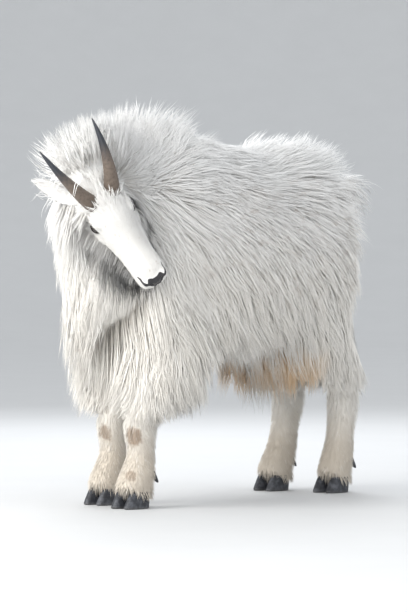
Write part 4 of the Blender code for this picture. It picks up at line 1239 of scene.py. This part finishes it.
class GoatSettings(bpy.types.PropertyGroup):
    coat_depth: size_setting("Coat depth", "How far the skin lies inside the solids", 0.028)
    long_length: FloatProperty(name="Long hair", description="Scale of the long coat's length", default=1.0)
    tuft_width: size_setting("Tuft width", "Half width of a long tuft", 0.0017)
    long_count: count_setting("Long tufts", "Tufts in each long piece", 7150)
    ruff_count: count_setting("Ruff tufts", "Tufts of the ruff and beard", 5400)
    face_count: count_setting("Face tufts", "Tufts on the head", 17500)
    ear_count: count_setting("Ear tufts", "Tufts on each ear", 1500)
    shank_count: count_setting("Shank tufts", "Tufts on the lower legs", 9000)
    eye_radius: size_setting("Eye radius", "Radius of the eye", 0.0155)
    horn_length: size_setting("Horn length", "Length along a horn", 0.205)
    horn_radius: size_setting("Horn radius", "Radius of a horn at its base", 0.0215)
    ear_length: size_setting("Ear length", "From root to tip", 0.122)
    white: colour_setting("White", "Upper coat", (0.93, 0.925, 0.91))
    cream: colour_setting("Cream", "Lower coat", (0.90, 0.845, 0.75))
    rust: colour_setting("Rust", "Belly stain", (0.90, 0.60, 0.32))
    umber: colour_setting("Umber", "Soiled hair", (0.36, 0.27, 0.20))
    # Painted shade on the hair near the skin
    root_painted_shade: colour_setting("Root tint", "Hair near the skin", (0.93, 0.90, 0.86))
    horn_base: colour_setting("Horn base", "Horn near the head", (0.150, 0.115, 0.090))
    horn_tip: colour_setting("Horn tip", "Horn near the tip", (0.010, 0.012, 0.018))
    hoof: colour_setting("Hoof", "Claw horn", (0.020, 0.022, 0.028))
    iris: colour_setting("Iris", "Eye colour", (0.070, 0.028, 0.010))


FLESH = ["torso", "neck", "head", "tail"] + [
    part + "_" + side
    for part in ("foreleg_upper", "foreleg_lower", "hindleg_upper", "hindleg_lower")
    for side in ("left", "right")
]


def dressed(obj, material, slot, *nodes):
    """Gives a piece its finish and its place on the body, in the stead of some solids; the slot is not used.
    """
    obj.data.materials.clear()
    obj.data.materials.append(material)
    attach(obj, "root")
    if nodes:
        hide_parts(*nodes)
    return obj


def point_values(obj, name, values):
    held = obj.data.attributes.new(name, "FLOAT", "POINT")
    held.data.foreach_set("value", np.ascontiguousarray(values, np.float32))


class GOAT_OT_skin(bpy.types.Operator):
    """One skin over the whole animal: lofted forms melted together, with the head at a finer grain."""

    bl_idname = "goat.skin"
    bl_label = "Skin"

    def execute(self, context):
        settings = context.scene.goat
        body = melted(joined("skin", body_forms(settings.coat_depth)), BODY_GRAIN, 7)
        head = head_skin(settings.eye_radius)
        fold_head(head)
        combined(body, [head], "UNION")
        points = points_of(body)
        ahead, out, up = in_head(points).T
        near_head = smoothstep(0.30, 0.20, np.linalg.norm(points - HEAD_PLACE, axis=1))
        seam = smoothstep(-0.060, -0.085, ahead) * near_head
        relaxed(body, 0.6 * seam, 12)
        points = points_of(body)
        ahead, out, up = in_head(points).T
        side = np.abs(out)
        nose = nose_mask(ahead, side, up)
        rim = np.zeros(len(points))
        for _, s in SIDES:
            place = (points - eye_centre(s)) @ eye_axes(s).T
            lens = (np.abs(place[:, 0]) / 0.0162) ** 1.5 + (np.abs(place[:, 1]) / 0.0090) ** 1.5
            rim = np.maximum(rim, smoothstep(1.25, 0.95, lens) * (place[:, 2] > 0.004))
        region = region_of(points)
        point_values(body, "nose", nose)
        point_values(body, "rim", rim)
        # Where the skin gets painted shade under the long coat
        point_values(body, "shade_under_coat", (region >= 0).astype(float))
        dressed(body, skin_finish(settings), "coat", *FLESH)
        return {"FINISHED"}


class GOAT_OT_eyes(bpy.types.Operator):
    """Eyes: balls with a bulging cornea, whose map iris holds the distance off the line of sight."""

    bl_idname = "goat.eyes"
    bl_label = "Eyes"

    def execute(self, context):
        settings = context.scene.goat
        material = eye_finish(settings)
        for side, s in SIDES:
            axes = eye_axes(s)
            centre = eye_centre(s)
            radius = settings.eye_radius
            points, faces = ellipsoid(centre, axes, (radius,) * 3, 48, 32)
            place = (points - centre) @ axes.T
            off = np.hypot(place[:, 0], place[:, 1])
            bulge = 0.0011 * smoothstep(0.62 * radius, 0.0, off) * (place[:, 2] > 0)
            eye = mesh_object("eyeball_" + side, points + axes[2] * bulge[:, None], faces)
            flat = (place[:, :2] / (0.82 * radius))[corners_of(eye.data)]
            eye.data.uv_layers.new(name="iris").data.foreach_set("uv", flat.astype(np.float32).ravel())
            dressed(eye, material, "eye", "eye_" + side)
        return {"FINISHED"}


def horn_line(s, length, rows):
    """A horn's middle line: the heading turns evenly from its first rise and splay to its last."""
    share = np.linspace(0.0, 1.0, rows)
    turn = np.clip(share + 1 / 28, 0, 1)
    rise = np.radians(mix(*HORN_RISE, turn))
    splay = np.radians(mix(*HORN_SPLAY, turn))
    heading = head_direction(-np.cos(rise) * np.cos(splay), s * np.sin(splay), np.sin(rise) * np.cos(splay))
    step = np.diff(share, prepend=share[0])[:, None] * length
    ahead, out, up = HORN_ROOT
    return head_point(ahead, s * out, up) + np.cumsum(heading * step, axis=0), share


def ear_root(s):
    """Where an ear starts and the way it points: out, back and a little up."""
    ahead, out, up = EAR_ROOT
    return head_point(ahead, s * out, up), unit(head_direction(-0.84, s * 0.50, 0.20))


def ear_line(s, rows):
    """An ear's middle line, from its root to its tip."""
    share = np.linspace(0.0, 1.0, rows)[:, None]
    root, along = ear_root(s)
    return root + along * bpy.context.scene.goat.ear_length * share


def horn_surface(s, length, base, rows=110, sides=40):
    """A back-curving cone on its line.

    The radius falls as (1 - share)^0.86, with saw-like rings that fade out above the lower half.
    """
    centres, share = horn_line(s, length, rows)
    radius = base * (1 - share) ** 0.86 + 0.0012
    saw = (share * 17) % 1.0
    ripple = 0.00075 * (saw**2 - 0.4) * (1 - smoothstep(0.30, 0.60, share))
    flare = 0.0012 * ridge(share, 0.0, 0.03)
    radius = radius + ripple + flare
    radius = radius * np.sqrt(np.clip((1.004 - share) / 0.012, 0, 1))
    zero = np.zeros(rows)
    table = np.column_stack((centres, radius * 0.93, radius * 1.05, zero, zero + 2.0))
    return closed_tube(rings(table, HEAD_AXES[0], sides)), share


class GOAT_OT_horns(bpy.types.Operator):
    """Horns: ringed, curved cones, each on a boss of skin."""

    bl_idname = "goat.horns"
    bl_label = "Horns"

    def execute(self, context):
        settings = context.scene.goat
        material = horn_finish(settings)
        for side, s in SIDES:
            (points, faces), share = horn_surface(s, settings.horn_length, settings.horn_radius)
            horn = mesh_object("horn_sheath_" + side, points, faces)
            point_values(horn, "along", np.concatenate((np.repeat(share, 40), (0.0, 1.0))))
            dressed(horn, material, "horn", "horn_" + side)
        return {"FINISHED"}


def ear_surface(s, length, rows=40, columns=14, wall=0.0030):
    """A pointed leaf curled about its length, as a profile of its hollow and its back carried to the tip."""
    root, along = ear_root(s)
    opening = head_direction(0.12, s * 0.62, 0.40)
    opening = unit(opening - along * dot(opening, along))
    across = np.cross(along, opening)
    share = np.linspace(-0.12, 1.0, rows)[:, None]
    t = np.clip(share, 0, 1)
    half = 0.0265 * np.sin(np.pi * np.clip(share * 0.86 + 0.13, 0.02, 0.985)) ** 0.75
    half = np.maximum(half, 0.0010)
    curl = np.radians(mix(80.0, 34.0, smoothstep(0.0, 0.9, t)))
    radius = half / np.sin(curl)
    middle = root + along * (length * share)[..., None] + opening * (0.012 * t * t)[..., None]
    bend = curl * np.linspace(-1, 1, columns)
    thick = wall * np.minimum(1, half / 0.010) * (1 + 1.2 * smoothstep(0.15, -0.1, share))
    back = (radius, bend)
    front = (radius - thick * np.sqrt(np.clip(1 - np.linspace(-1, 1, columns) ** 4, 0, 1)), bend)
    loops = []
    for (r, angle), order in ((back, 1), (front, -1)):
        out = (r * np.sin(angle))[..., None] * across + (radius - r * np.cos(angle))[..., None] * opening
        loops.append((middle + out)[:, ::order][:, :-1])
    grid = np.concatenate(loops, 1)
    inner = np.concatenate((np.zeros(columns - 1), np.sin(np.linspace(0, np.pi, columns - 1))))
    return closed_tube(grid), np.tile(inner, rows)


class GOAT_OT_ears(bpy.types.Operator):
    """Ears: cupped leaves on short stalks."""

    bl_idname = "goat.ears"
    bl_label = "Ears"

    def execute(self, context):
        settings = context.scene.goat
        material = ear_finish(settings)
        for side, s in SIDES:
            (points, faces), inner = ear_surface(s, settings.ear_length)
            ear = mesh_object("ear_leaf_" + side, points, faces)
            point_values(ear, "inner", np.concatenate((inner, (0.0, 0.0))))
            dressed(ear, material, "face_hair", "ear_" + side)
        return {"FINISHED"}


def claw_surface(x, y, toe_in, rows=26, sides=36):
    """One half of a cloven hoof: a flat sole, a sloping concave wall with growth bands, a rounded heel."""
    table = [
        (0.0000, -0.004, 0.93, 0.93),
        (0.0012, -0.004, 1.00, 0.99),
        (0.006, -0.004, 1.04, 1.02),
        (0.022, 0.001, 0.98, 0.92),
        (0.036, 0.005, 0.87, 0.81),
        (0.044, 0.008, 0.78, 0.72),
    ]
    z, back, wide, long = resampled(table, rows).T
    z = np.maximum(z, 0.0)
    band = 1 + 0.006 * np.sin(z * 1400) * smoothstep(0.004, 0.012, z)
    place = np.column_stack((x + toe_in * back + SHIFT[0], y + back + SHIFT[1], z))
    half = vectors(0.0185 * wide * band, 0.041 * long * band, 0.12, 2.3)
    grid = rings(np.column_stack((place, half)), AHEAD, sides, UP)
    return closed_tube(grid)


def spur_surface(x, y, z, rows=14, sides=18):
    """A blunt cone behind the pastern, pointing down and back."""
    share = np.linspace(0, 1, rows)
    centres = vectors(x, y + mix(-0.012, 0.017, share), z + mix(0.010, -0.019, share))
    radius = 0.0108 * (1 - share**2.2) ** 0.5 * mix(1.0, 0.55, share) + 0.0004
    zero = np.zeros(rows)
    table = np.column_stack((centres + SHIFT, radius, radius * 0.9, zero, zero + 2.0))
    return closed_tube(rings(table, UP, sides))


class GOAT_OT_hooves(bpy.types.Operator):
    """Hooves: two claws on each foot and two dewclaws behind it."""

    bl_idname = "goat.hooves"
    bl_label = "Hooves"

    def execute(self, context):
        material = hoof_finish(context.scene.goat)
        for pair, hooves in (("fore", FORE_HOOF), ("hind", HIND_HOOF)):
            for side, (x, y) in hooves.items():
                s = math.copysign(1.0, x)
                for toe, out in (("outer", s), ("inner", -s)):
                    place = "_".join((pair, side, toe))
                    wall = claw_surface(x + out * 0.0232, y - 0.004, out * 0.12)
                    claw = mesh_object("claw_" + place, *wall)
                    dressed(claw, material, "hoof", "hoof_" + place)
                    spur = mesh_object("spur_" + place, *spur_surface(x + out * 0.020, y + 0.062, 0.083))
                    dressed(spur, material, "hoof", "dewclaw_" + place)
        return {"FINISHED"}


def wavy(paths, outward, phase, size, turns):
    """Adds a wave across each path: size x share x sin(turns x share + phase)."""
    share = np.linspace(0, 1, paths.shape[1])
    along = unit(paths[:, -1] - paths[:, 0])
    across = unit(np.cross(along, outward))
    wave = size[:, None] * share**0.8 * np.sin(turns[:, None] * share + phase[:, None])
    return paths + across[:, None] * wave[..., None]


def shrunk(paths, good):
    """The paths, with those that aren't good made straighter and drawn in to under half their length."""
    root = paths[:, :1]
    share = np.linspace(0, 1, paths.shape[1])[:, None]
    straight = root + (paths[:, -1:] - root) * share
    return np.where(good[:, None, None], paths, root + (mix(straight, paths, 0.25) - root) * 0.40)


def clear_of_horns(points, right_ear=EAR_REACH):
    """True for paths that keep off the horns and the ears."""
    good = np.ones(len(points), bool)
    settings = bpy.context.scene.goat
    for _, s in SIDES:
        horn = horn_line(s, settings.horn_length, 14)[0]
        for line, reach in ((horn, HORN_REACH), (ear_line(s, 7), EAR_REACH if s > 0 else right_ear)):
            taper = reach * np.linspace(1.0, 0.55, len(line))
            far = np.linalg.norm(points[:, :, None] - line, axis=-1) - taper
            good &= far[:, 1:].min(axis=(1, 2)) > 0
    return good


def clear_of_face(points, reach):
    """True for paths none of whose points comes near the eyes or the nose."""
    ahead, _, up = in_head(points).transpose(2, 0, 1)
    bad = (ahead > 0.165) & (up > -0.075) & (ahead < 0.26)
    near = np.full(points.shape[:2], 1.0)
    for _, s in SIDES:
        place = (points - eye_centre(s)) @ eye_axes(s).T
        far = np.hypot(place[..., 0], place[..., 1] * 1.2)
        near = np.minimum(near, np.where((place[..., 2] > 0.004) & (place[..., 2] < 0.06), far, 1.0))
    return ~(bad | (near < reach)).any(axis=1)


class GOAT_OT_long_coat(bpy.types.Operator):
    """Long coat: tapered tufts marched over the skin along the lie, drawn together into waving locks."""

    bl_idname = "goat.long_coat"
    bl_label = "Long coat"

    def execute(self, context):
        settings = context.scene.goat
        skin = bpy.data.objects["skin"]
        field = Field(skin, 0.008, 0.11)
        material = coat_finish(settings, "long coat", 0.85)
        for number, name in enumerate(REGIONS):
            rng = np.random.default_rng(40 + number)
            wanted = settings.long_count

            def weight(points, normals, number=number):
                return (region_of(points) == number).astype(float)

            roots, normals = scattered(skin, wanted, weight, rng)
            normals = unit(normals + field.outward(roots + normals * 0.012))
            lie, lift, length, clear, sag = long_style(roots, normals, np.full(wanted, number))
            length = length * settings.long_length
            layer = rng.random(wanted) ** 0.6
            length = (length + 0.020) * mix(0.72, 1.16, rng.random(wanted)) * mix(0.80, 1.0, layer)
            high = (clear + settings.coat_depth * 0.9) * mix(0.45, 1.0, layer)
            high = np.minimum(high, length * 0.60)
            lift = lift * mix(0.75, 1.15, layer)
            sway = rng.normal(0, 0.10, wanted) + 0.26 * drift(roots) + 0.12 * drift(roots * 3.1)
            paths = marched(field, roots, normals, lie, lift, length, high, sag, sway, 4, 0.004)
            ragged = 0.075 * rng.random(wanted) - 0.030
            hem = hem_of(roots, np.full(wanted, number)) + ragged + 0.012 * drift(roots * 2.3)
            drop = roots[:, 2] - paths[:, -1, 2]
            share = np.clip((roots[:, 2] - hem) / np.maximum(drop, 0.01), 0.15, 1.0)
            length = np.where(drop > 0.02, length * share, length)
            paths = marched(field, roots, normals, lie, lift, length, high, sag, sway, 4, 0.004)
            leaders = np.nonzero(rng.random(wanted) < 0.045)[0]
            pull = mix(0.20, 0.86, rng.random(wanted))
            paths, nearest = clumped(paths, leaders, pull, 0.50)
            phase = rng.uniform(0, 6.28, len(leaders))[nearest] + rng.normal(0, 0.35, wanted)
            size = length * mix(0.025, 0.075, rng.random(len(leaders))[nearest])
            turns = mix(5.0, 8.5, rng.random(len(leaders))[nearest])
            out = unit(field.outward(paths[:, 2]) + 0.7 * normals)
            paths = wavy(paths, out, phase, size, turns)
            paths = shrunk(paths, clear_of_face(paths[:, 1:], 0.016) & clear_of_horns(paths, 0.036))
            keep = clear_of_face(paths[:, 1:], 0.016) & clear_of_horns(paths)
            tone = np.clip(rng.normal(0, 0.45, wanted) + rng.normal(0, 0.35, len(leaders))[nearest], -1, 1)
            width = settings.tuft_width * mix(0.7, 1.25, rng.random(wanted))
            width = width * np.clip(length / 0.12, 0.5, 1.0)
            piece = ("coat_" + name, "coat", material, roots, paths, out, width, 0.55)
            coat_piece(*piece, LONG_PROFILE, tone, keep)
        return {"FINISHED"}


def short_style(points, normals):
    """How the face hair lies: back from the nose, down the cheeks, curled on the poll, long at the throat."""
    ahead, out, up = in_head(points).T
    back = head_direction(-1.0, 0.25 * np.sign(out), 0.05)
    down = np.array((-0.10, 0.10, -1.0))
    cheek = smoothstep(0.06, -0.05, ahead) * smoothstep(0.02, -0.03, up)
    lie = blend(back, down, cheek)
    poll = smoothstep(0.030, 0.050, up) * smoothstep(0.02, -0.03, ahead)
    lie = blend(lie, head_direction(-0.5, out * 6, 0.8), poll)
    length = mix(0.0062, 0.013, smoothstep(0.15, 0.04, ahead))
    length = mix(length, 0.030, smoothstep(0.02, -0.07, ahead))
    length = mix(length, 0.034, poll)
    jaw = smoothstep(-0.050, -0.085, up) * smoothstep(0.135, 0.06, ahead)
    length = mix(length, 0.060, jaw * smoothstep(0.10, 0.0, ahead))
    lie = blend(lie, down, jaw)
    lift = 0.10 + 0.30 * poll + 0.10 * jaw
    return unit(lie), lift, length


class GOAT_OT_ruff(bpy.types.Operator):
    """Ruff and beard: the long hair of the cheeks, jaw and back of the head, hanging or swept back."""

    bl_idname = "goat.ruff"
    bl_label = "Ruff and beard"

    def execute(self, context):
        settings = context.scene.goat
        skin = bpy.data.objects["skin"]
        field = Field(skin, 0.006, 0.08)
        rng = np.random.default_rng(91)
        wanted = settings.ruff_count

        def behind(points, normals):
            ahead, _, up = in_head(points).T
            jaw = smoothstep(-0.040, -0.062, up) * smoothstep(0.185, 0.115, ahead)
            cheek = smoothstep(0.075, 0.0, ahead) * smoothstep(-0.005, -0.040, up)
            cheek = np.maximum(cheek, smoothstep(-0.020, -0.050, ahead) * smoothstep(0.045, 0.0, up))
            back = smoothstep(-0.070, -0.090, ahead)
            head = (region_of(points) < 0) & (points[:, 2] > 0.5)
            return head * np.maximum(np.maximum(jaw, cheek), back)

        roots, normals = scattered(skin, wanted, behind, rng)
        ahead, out, up = in_head(roots).T
        zero = np.zeros(wanted)
        down = np.array((-0.12, 0.02, -1.0)) + normals * 0.60
        back = head_direction(-1.0, out * 4, -0.1)
        lie = blend(down, back, smoothstep(-0.02, 0.03, up) * smoothstep(-0.04, -0.08, ahead))
        beard = smoothstep(-0.045, -0.075, up)
        cheek = mix(0.026, 0.068, smoothstep(0.07, -0.04, ahead))
        length = mix(cheek, mix(0.042, 0.150, smoothstep(0.17, 0.05, ahead)), beard)
        length = length * mix(0.7, 1.2, rng.random(wanted))
        length = np.where(up > 0.0, np.minimum(length, 0.050), length)
        lift = mix(0.34, 0.50, rng.random(wanted))
        high = np.minimum(0.034, length * 0.45) * mix(0.4, 1.0, rng.random(wanted))
        sway = rng.normal(0, 0.08, wanted) + 0.2 * drift(roots)
        paths = marched(field, roots, normals, lie, lift, length, high, zero + 0.10, sway, 4, 0.003)
        leaders = np.nonzero(rng.random(wanted) < 0.06)[0]
        paths, nearest = clumped(paths, leaders, mix(0.1, 0.6, rng.random(wanted)), 0.6)
        out = field.outward(paths[:, 2])
        phase = rng.uniform(0, 6.28, len(leaders))[nearest]
        paths = wavy(paths, out, phase, length * 0.035, zero + 6.0)
        paths = shrunk(paths, clear_of_face(paths, 0.022) & clear_of_horns(paths, 0.034))
        keep = clear_of_face(paths, 0.020) & clear_of_horns(paths)
        tone = np.clip(rng.normal(0, 0.5, wanted), -1, 1)
        width = settings.tuft_width * mix(0.6, 1.0, rng.random(wanted))
        width = width * mix(0.6, 1.0, smoothstep(0.03, 0.08, length))
        piece = ("coat_ruff", "coat", bpy.data.materials["long coat"], roots, paths, out, width, 0.55)
        coat_piece(*piece, LONG_PROFILE, tone, keep)
        return {"FINISHED"}


class GOAT_OT_short_coat(bpy.types.Operator):
    """Short coat: small tufts that lie close on the face, the shanks and the ears."""

    bl_idname = "goat.short_coat"
    bl_label = "Short coat"

    def execute(self, context):
        settings = context.scene.goat
        skin = bpy.data.objects["skin"]
        field = Field(skin, 0.004, 0.03)
        material = coat_finish(settings, "short coat", 0.35)
        rng = np.random.default_rng(7)
        wanted = settings.face_count

        def on_face(points, normals):
            ahead, out, up = in_head(points).T
            there = (region_of(points) < 0) & (points[:, 2] > 0.5)
            bare = nose_mask(ahead, np.abs(out), up) > 0.1
            return there * ~bare * mix(1.0, 2.6, smoothstep(-0.02, 0.1, ahead))

        roots, normals = scattered(skin, wanted, on_face, rng)
        lie, lift, length = short_style(roots, normals)
        length = length * mix(0.75, 1.25, rng.random(wanted))
        high = 0.0007 + length * 0.10
        sag = np.zeros(wanted)
        sway = rng.normal(0, 0.22, wanted)
        paths = marched(field, roots, normals, lie, lift, length, high, sag, sway, 2, 0.0012)
        ahead, out, up = in_head(paths).transpose(2, 0, 1)
        bare = (nose_mask(ahead, np.abs(out), up) > 0.2).any(axis=1)
        near = np.full(wanted, 1.0)
        for _, s in SIDES:
            place = (paths - eye_centre(s)) @ eye_axes(s).T
            lens = (np.abs(place[..., 0]) / 0.0172) ** 1.5 + (np.abs(place[..., 1]) / 0.0100) ** 1.5
            near = np.minimum(near, np.where(place[..., 2] > 0.003, lens, 2.0).min(axis=1))
        keep = ~bare & (near >= 1.0) & clear_of_horns(paths)
        width = mix(0.00060, 0.0017, smoothstep(0.006, 0.028, length))
        tone = np.clip(rng.normal(0, 0.35, wanted), -1, 1)
        piece = ("coat_face", "face_hair", material, roots, paths, normals, width, 0.45)
        coat_piece(*piece, SHORT_PROFILE, tone, keep)
        for side, s in SIDES:
            ear = bpy.data.objects["ear_leaf_" + side]
            wanted = settings.ear_count
            roots, normals = scattered(ear, wanted, lambda points, normals: np.ones(len(points)), rng)
            tip = ear_line(s, 7)
            along = unit(tip[-1] - tip[0])
            strewn = rng.normal(0, 0.12, roots.shape)
            lie = unit(along - normals * dot(normals, along)[:, None] + normals * 0.24 + strewn)
            length = mix(0.010, 0.019, rng.random(wanted))[:, None]
            bend = unit(lie + along * 0.5) * length
            half_way = roots + lie * length * 0.5
            paths = np.stack((roots - normals * 0.0008, half_way, half_way + bend * 0.5), 1)
            tone = np.clip(rng.normal(0.2, 0.35, wanted), -1, 1)
            width = np.full(wanted, 0.0010)
            piece = ("coat_ear_" + side, "face_hair", material, roots, paths, normals, width, 0.45)
            coat_piece(*piece, SHORT_PROFILE, tone)

        wanted = settings.shank_count

        def on_shanks(points, normals):
            return (region_of(points) < 0) & (points[:, 2] < 0.4) & (points[:, 2] > 0.036)

        roots, normals = scattered(skin, wanted, on_shanks, rng)
        lie = vectors(0.25 * normals[:, 0], 0.25 * normals[:, 1] + 0.12, -1)
        foot = smoothstep(0.070, 0.045, roots[:, 2])
        length = mix(0.015, 0.027, np.maximum(foot, smoothstep(0.17, 0.27, roots[:, 2])))
        length = length * mix(0.75, 1.25, rng.random(wanted))
        length = np.minimum(length, np.maximum(roots[:, 2] - 0.016, 0.006))
        lift = 0.12 + 0.10 * rng.random(wanted)
        high = 0.0015 + length * 0.15
        sway = rng.normal(0, 0.18, wanted)
        paths = marched(field, roots, normals, lie, lift, length, high, 0 * length, sway, 2, 0.0015)
        tone = np.clip(rng.normal(0, 0.4, wanted), -1, 1)
        width = np.full(wanted, 0.0017) * mix(0.7, 1.2, rng.random(wanted))
        piece = ("coat_shanks", "coat", material, roots, paths, normals, width, 0.5)
        coat_piece(*piece, SHORT_PROFILE, tone)
        return {"FINISHED"}


class GOAT_OT_stage(bpy.types.Operator):
    """Stage: a pale floor, soft lights and the camera."""

    bl_idname = "goat.stage"
    bl_label = "Stage"

    def execute(self, context):
        scene = context.scene
        finish = Finish("floor")
        place = finish.place()
        grain = finish.noise(place, 3.0, 4.0, 0.6)
        colour = finish.colours((0.59, 0.595, 0.60, 1.0), (0.63, 0.635, 0.64, 1.0), grain)
        material = finish.finished(Base_Color=colour, Roughness=0.85)
        bend = np.linspace(0.0, np.pi / 2, 28)
        far = np.concatenate(((0.5, 3.0, 7.0, 11.0), 13.0 + 14.0 * np.sin(bend), (27.0,)))
        rise = np.concatenate((np.zeros(4), 14.0 - 14.0 * np.cos(bend), (16.0,)))
        sides = 64
        angle = 2 * np.pi * np.arange(sides) / sides
        ring = np.stack((np.cos(angle), np.sin(angle), 0 * angle), -1)
        grid = far[:, None, None] * ring + rise[:, None, None] * UP
        points = np.concatenate((grid.reshape(-1, 3), np.zeros((1, 3))))
        i, j = np.meshgrid(np.arange(len(far) - 1), np.arange(sides), indexing="ij")
        n = (j + 1) % sides
        quads = np.stack((i * sides + j, (i + 1) * sides + j, (i + 1) * sides + n, i * sides + n), -1)
        around = np.arange(sides)
        middle = np.stack((around, (around + 1) % sides, np.full(sides, len(points) - 1)), -1)
        floor = mesh_object("floor", points, [quads.reshape(-1, 4), middle], False)
        floor.data.materials.append(material)

        world = bpy.data.worlds.new("studio")
        world.use_nodes = True
        world.node_tree.nodes["Background"].inputs["Color"].default_value = SKY
        world.node_tree.nodes["Background"].inputs["Strength"].default_value = SKY_STRENGTH
        scene.world = world
        scene.view_settings.view_transform = "Standard"
        for name, angle, height, far, size, power, colour in LAMPS:
            light = bpy.data.lights.new(name, "AREA")
            light.size = size
            light.energy = power
            light.color = colour
            lamp = bpy.data.objects.new(name, light)
            turn = math.radians(angle)
            lamp.location = (far * math.sin(turn), -far * math.cos(turn), height)
            aim = Vector((0, 0, 0.6)) - lamp.location
            lamp.rotation_euler = aim.to_track_quat("-Z", "Y").to_euler()
            lamp.visible_camera = False
            scene.collection.objects.link(lamp)

        azimuth, elevation = math.radians(CAMERA_TURN), math.radians(CAMERA_RISE)
        right = Vector((math.cos(azimuth), math.sin(azimuth), 0.0))
        back = Vector(
            (
                math.sin(azimuth) * math.cos(elevation),
                -math.cos(azimuth) * math.cos(elevation),
                math.sin(elevation),
            )
        )
        target = Vector((0, 0, AIM_HEIGHT)) + right * AIM_ACROSS
        camera = bpy.data.objects.new("camera", bpy.data.cameras.new("camera"))
        camera.data.sensor_width = 36.0
        camera.data.lens = CAMERA_FAR / ROW_SIZE * 36.0 / FRAME_ROWS
        camera.data.clip_end = 60.0
        turned = Matrix((right, back.cross(right), back)).transposed()
        camera.matrix_world = Matrix.Translation(target + back * CAMERA_FAR) @ turned.to_4x4()
        scene.collection.objects.link(camera)
        scene.camera = camera
        return {"FINISHED"}


OPERATORS = (
    GOAT_OT_skin,
    GOAT_OT_eyes,
    GOAT_OT_horns,
    GOAT_OT_ears,
    GOAT_OT_hooves,
    GOAT_OT_long_coat,
    GOAT_OT_ruff,
    GOAT_OT_short_coat,
    GOAT_OT_stage,
)


class GOAT_PT_panel(bpy.types.Panel):
    bl_idname = "GOAT_PT_panel"
    bl_label = "Mountain goat"
    bl_space_type = "VIEW_3D"
    bl_region_type = "UI"
    bl_category = "Goat"

    def draw(self, context):
        for name in GoatSettings.__annotations__:
            self.layout.prop(context.scene.goat, name)
        for operator in OPERATORS:
            self.layout.operator(operator.bl_idname)


CLASSES = (GoatSettings,) + OPERATORS + (GOAT_PT_panel,)


def register():
    for cls in CLASSES:
        bpy.utils.register_class(cls)
    bpy.types.Scene.goat = PointerProperty(type=GoatSettings)


def unregister():
    del bpy.types.Scene.goat
    for cls in reversed(CLASSES):
        bpy.utils.unregister_class(cls)


def main():
    register()
    for operator in OPERATORS:
        group, name = operator.bl_idname.split(".")
        getattr(getattr(bpy.ops, group), name)()


if __name__ == "__main__":
    main()
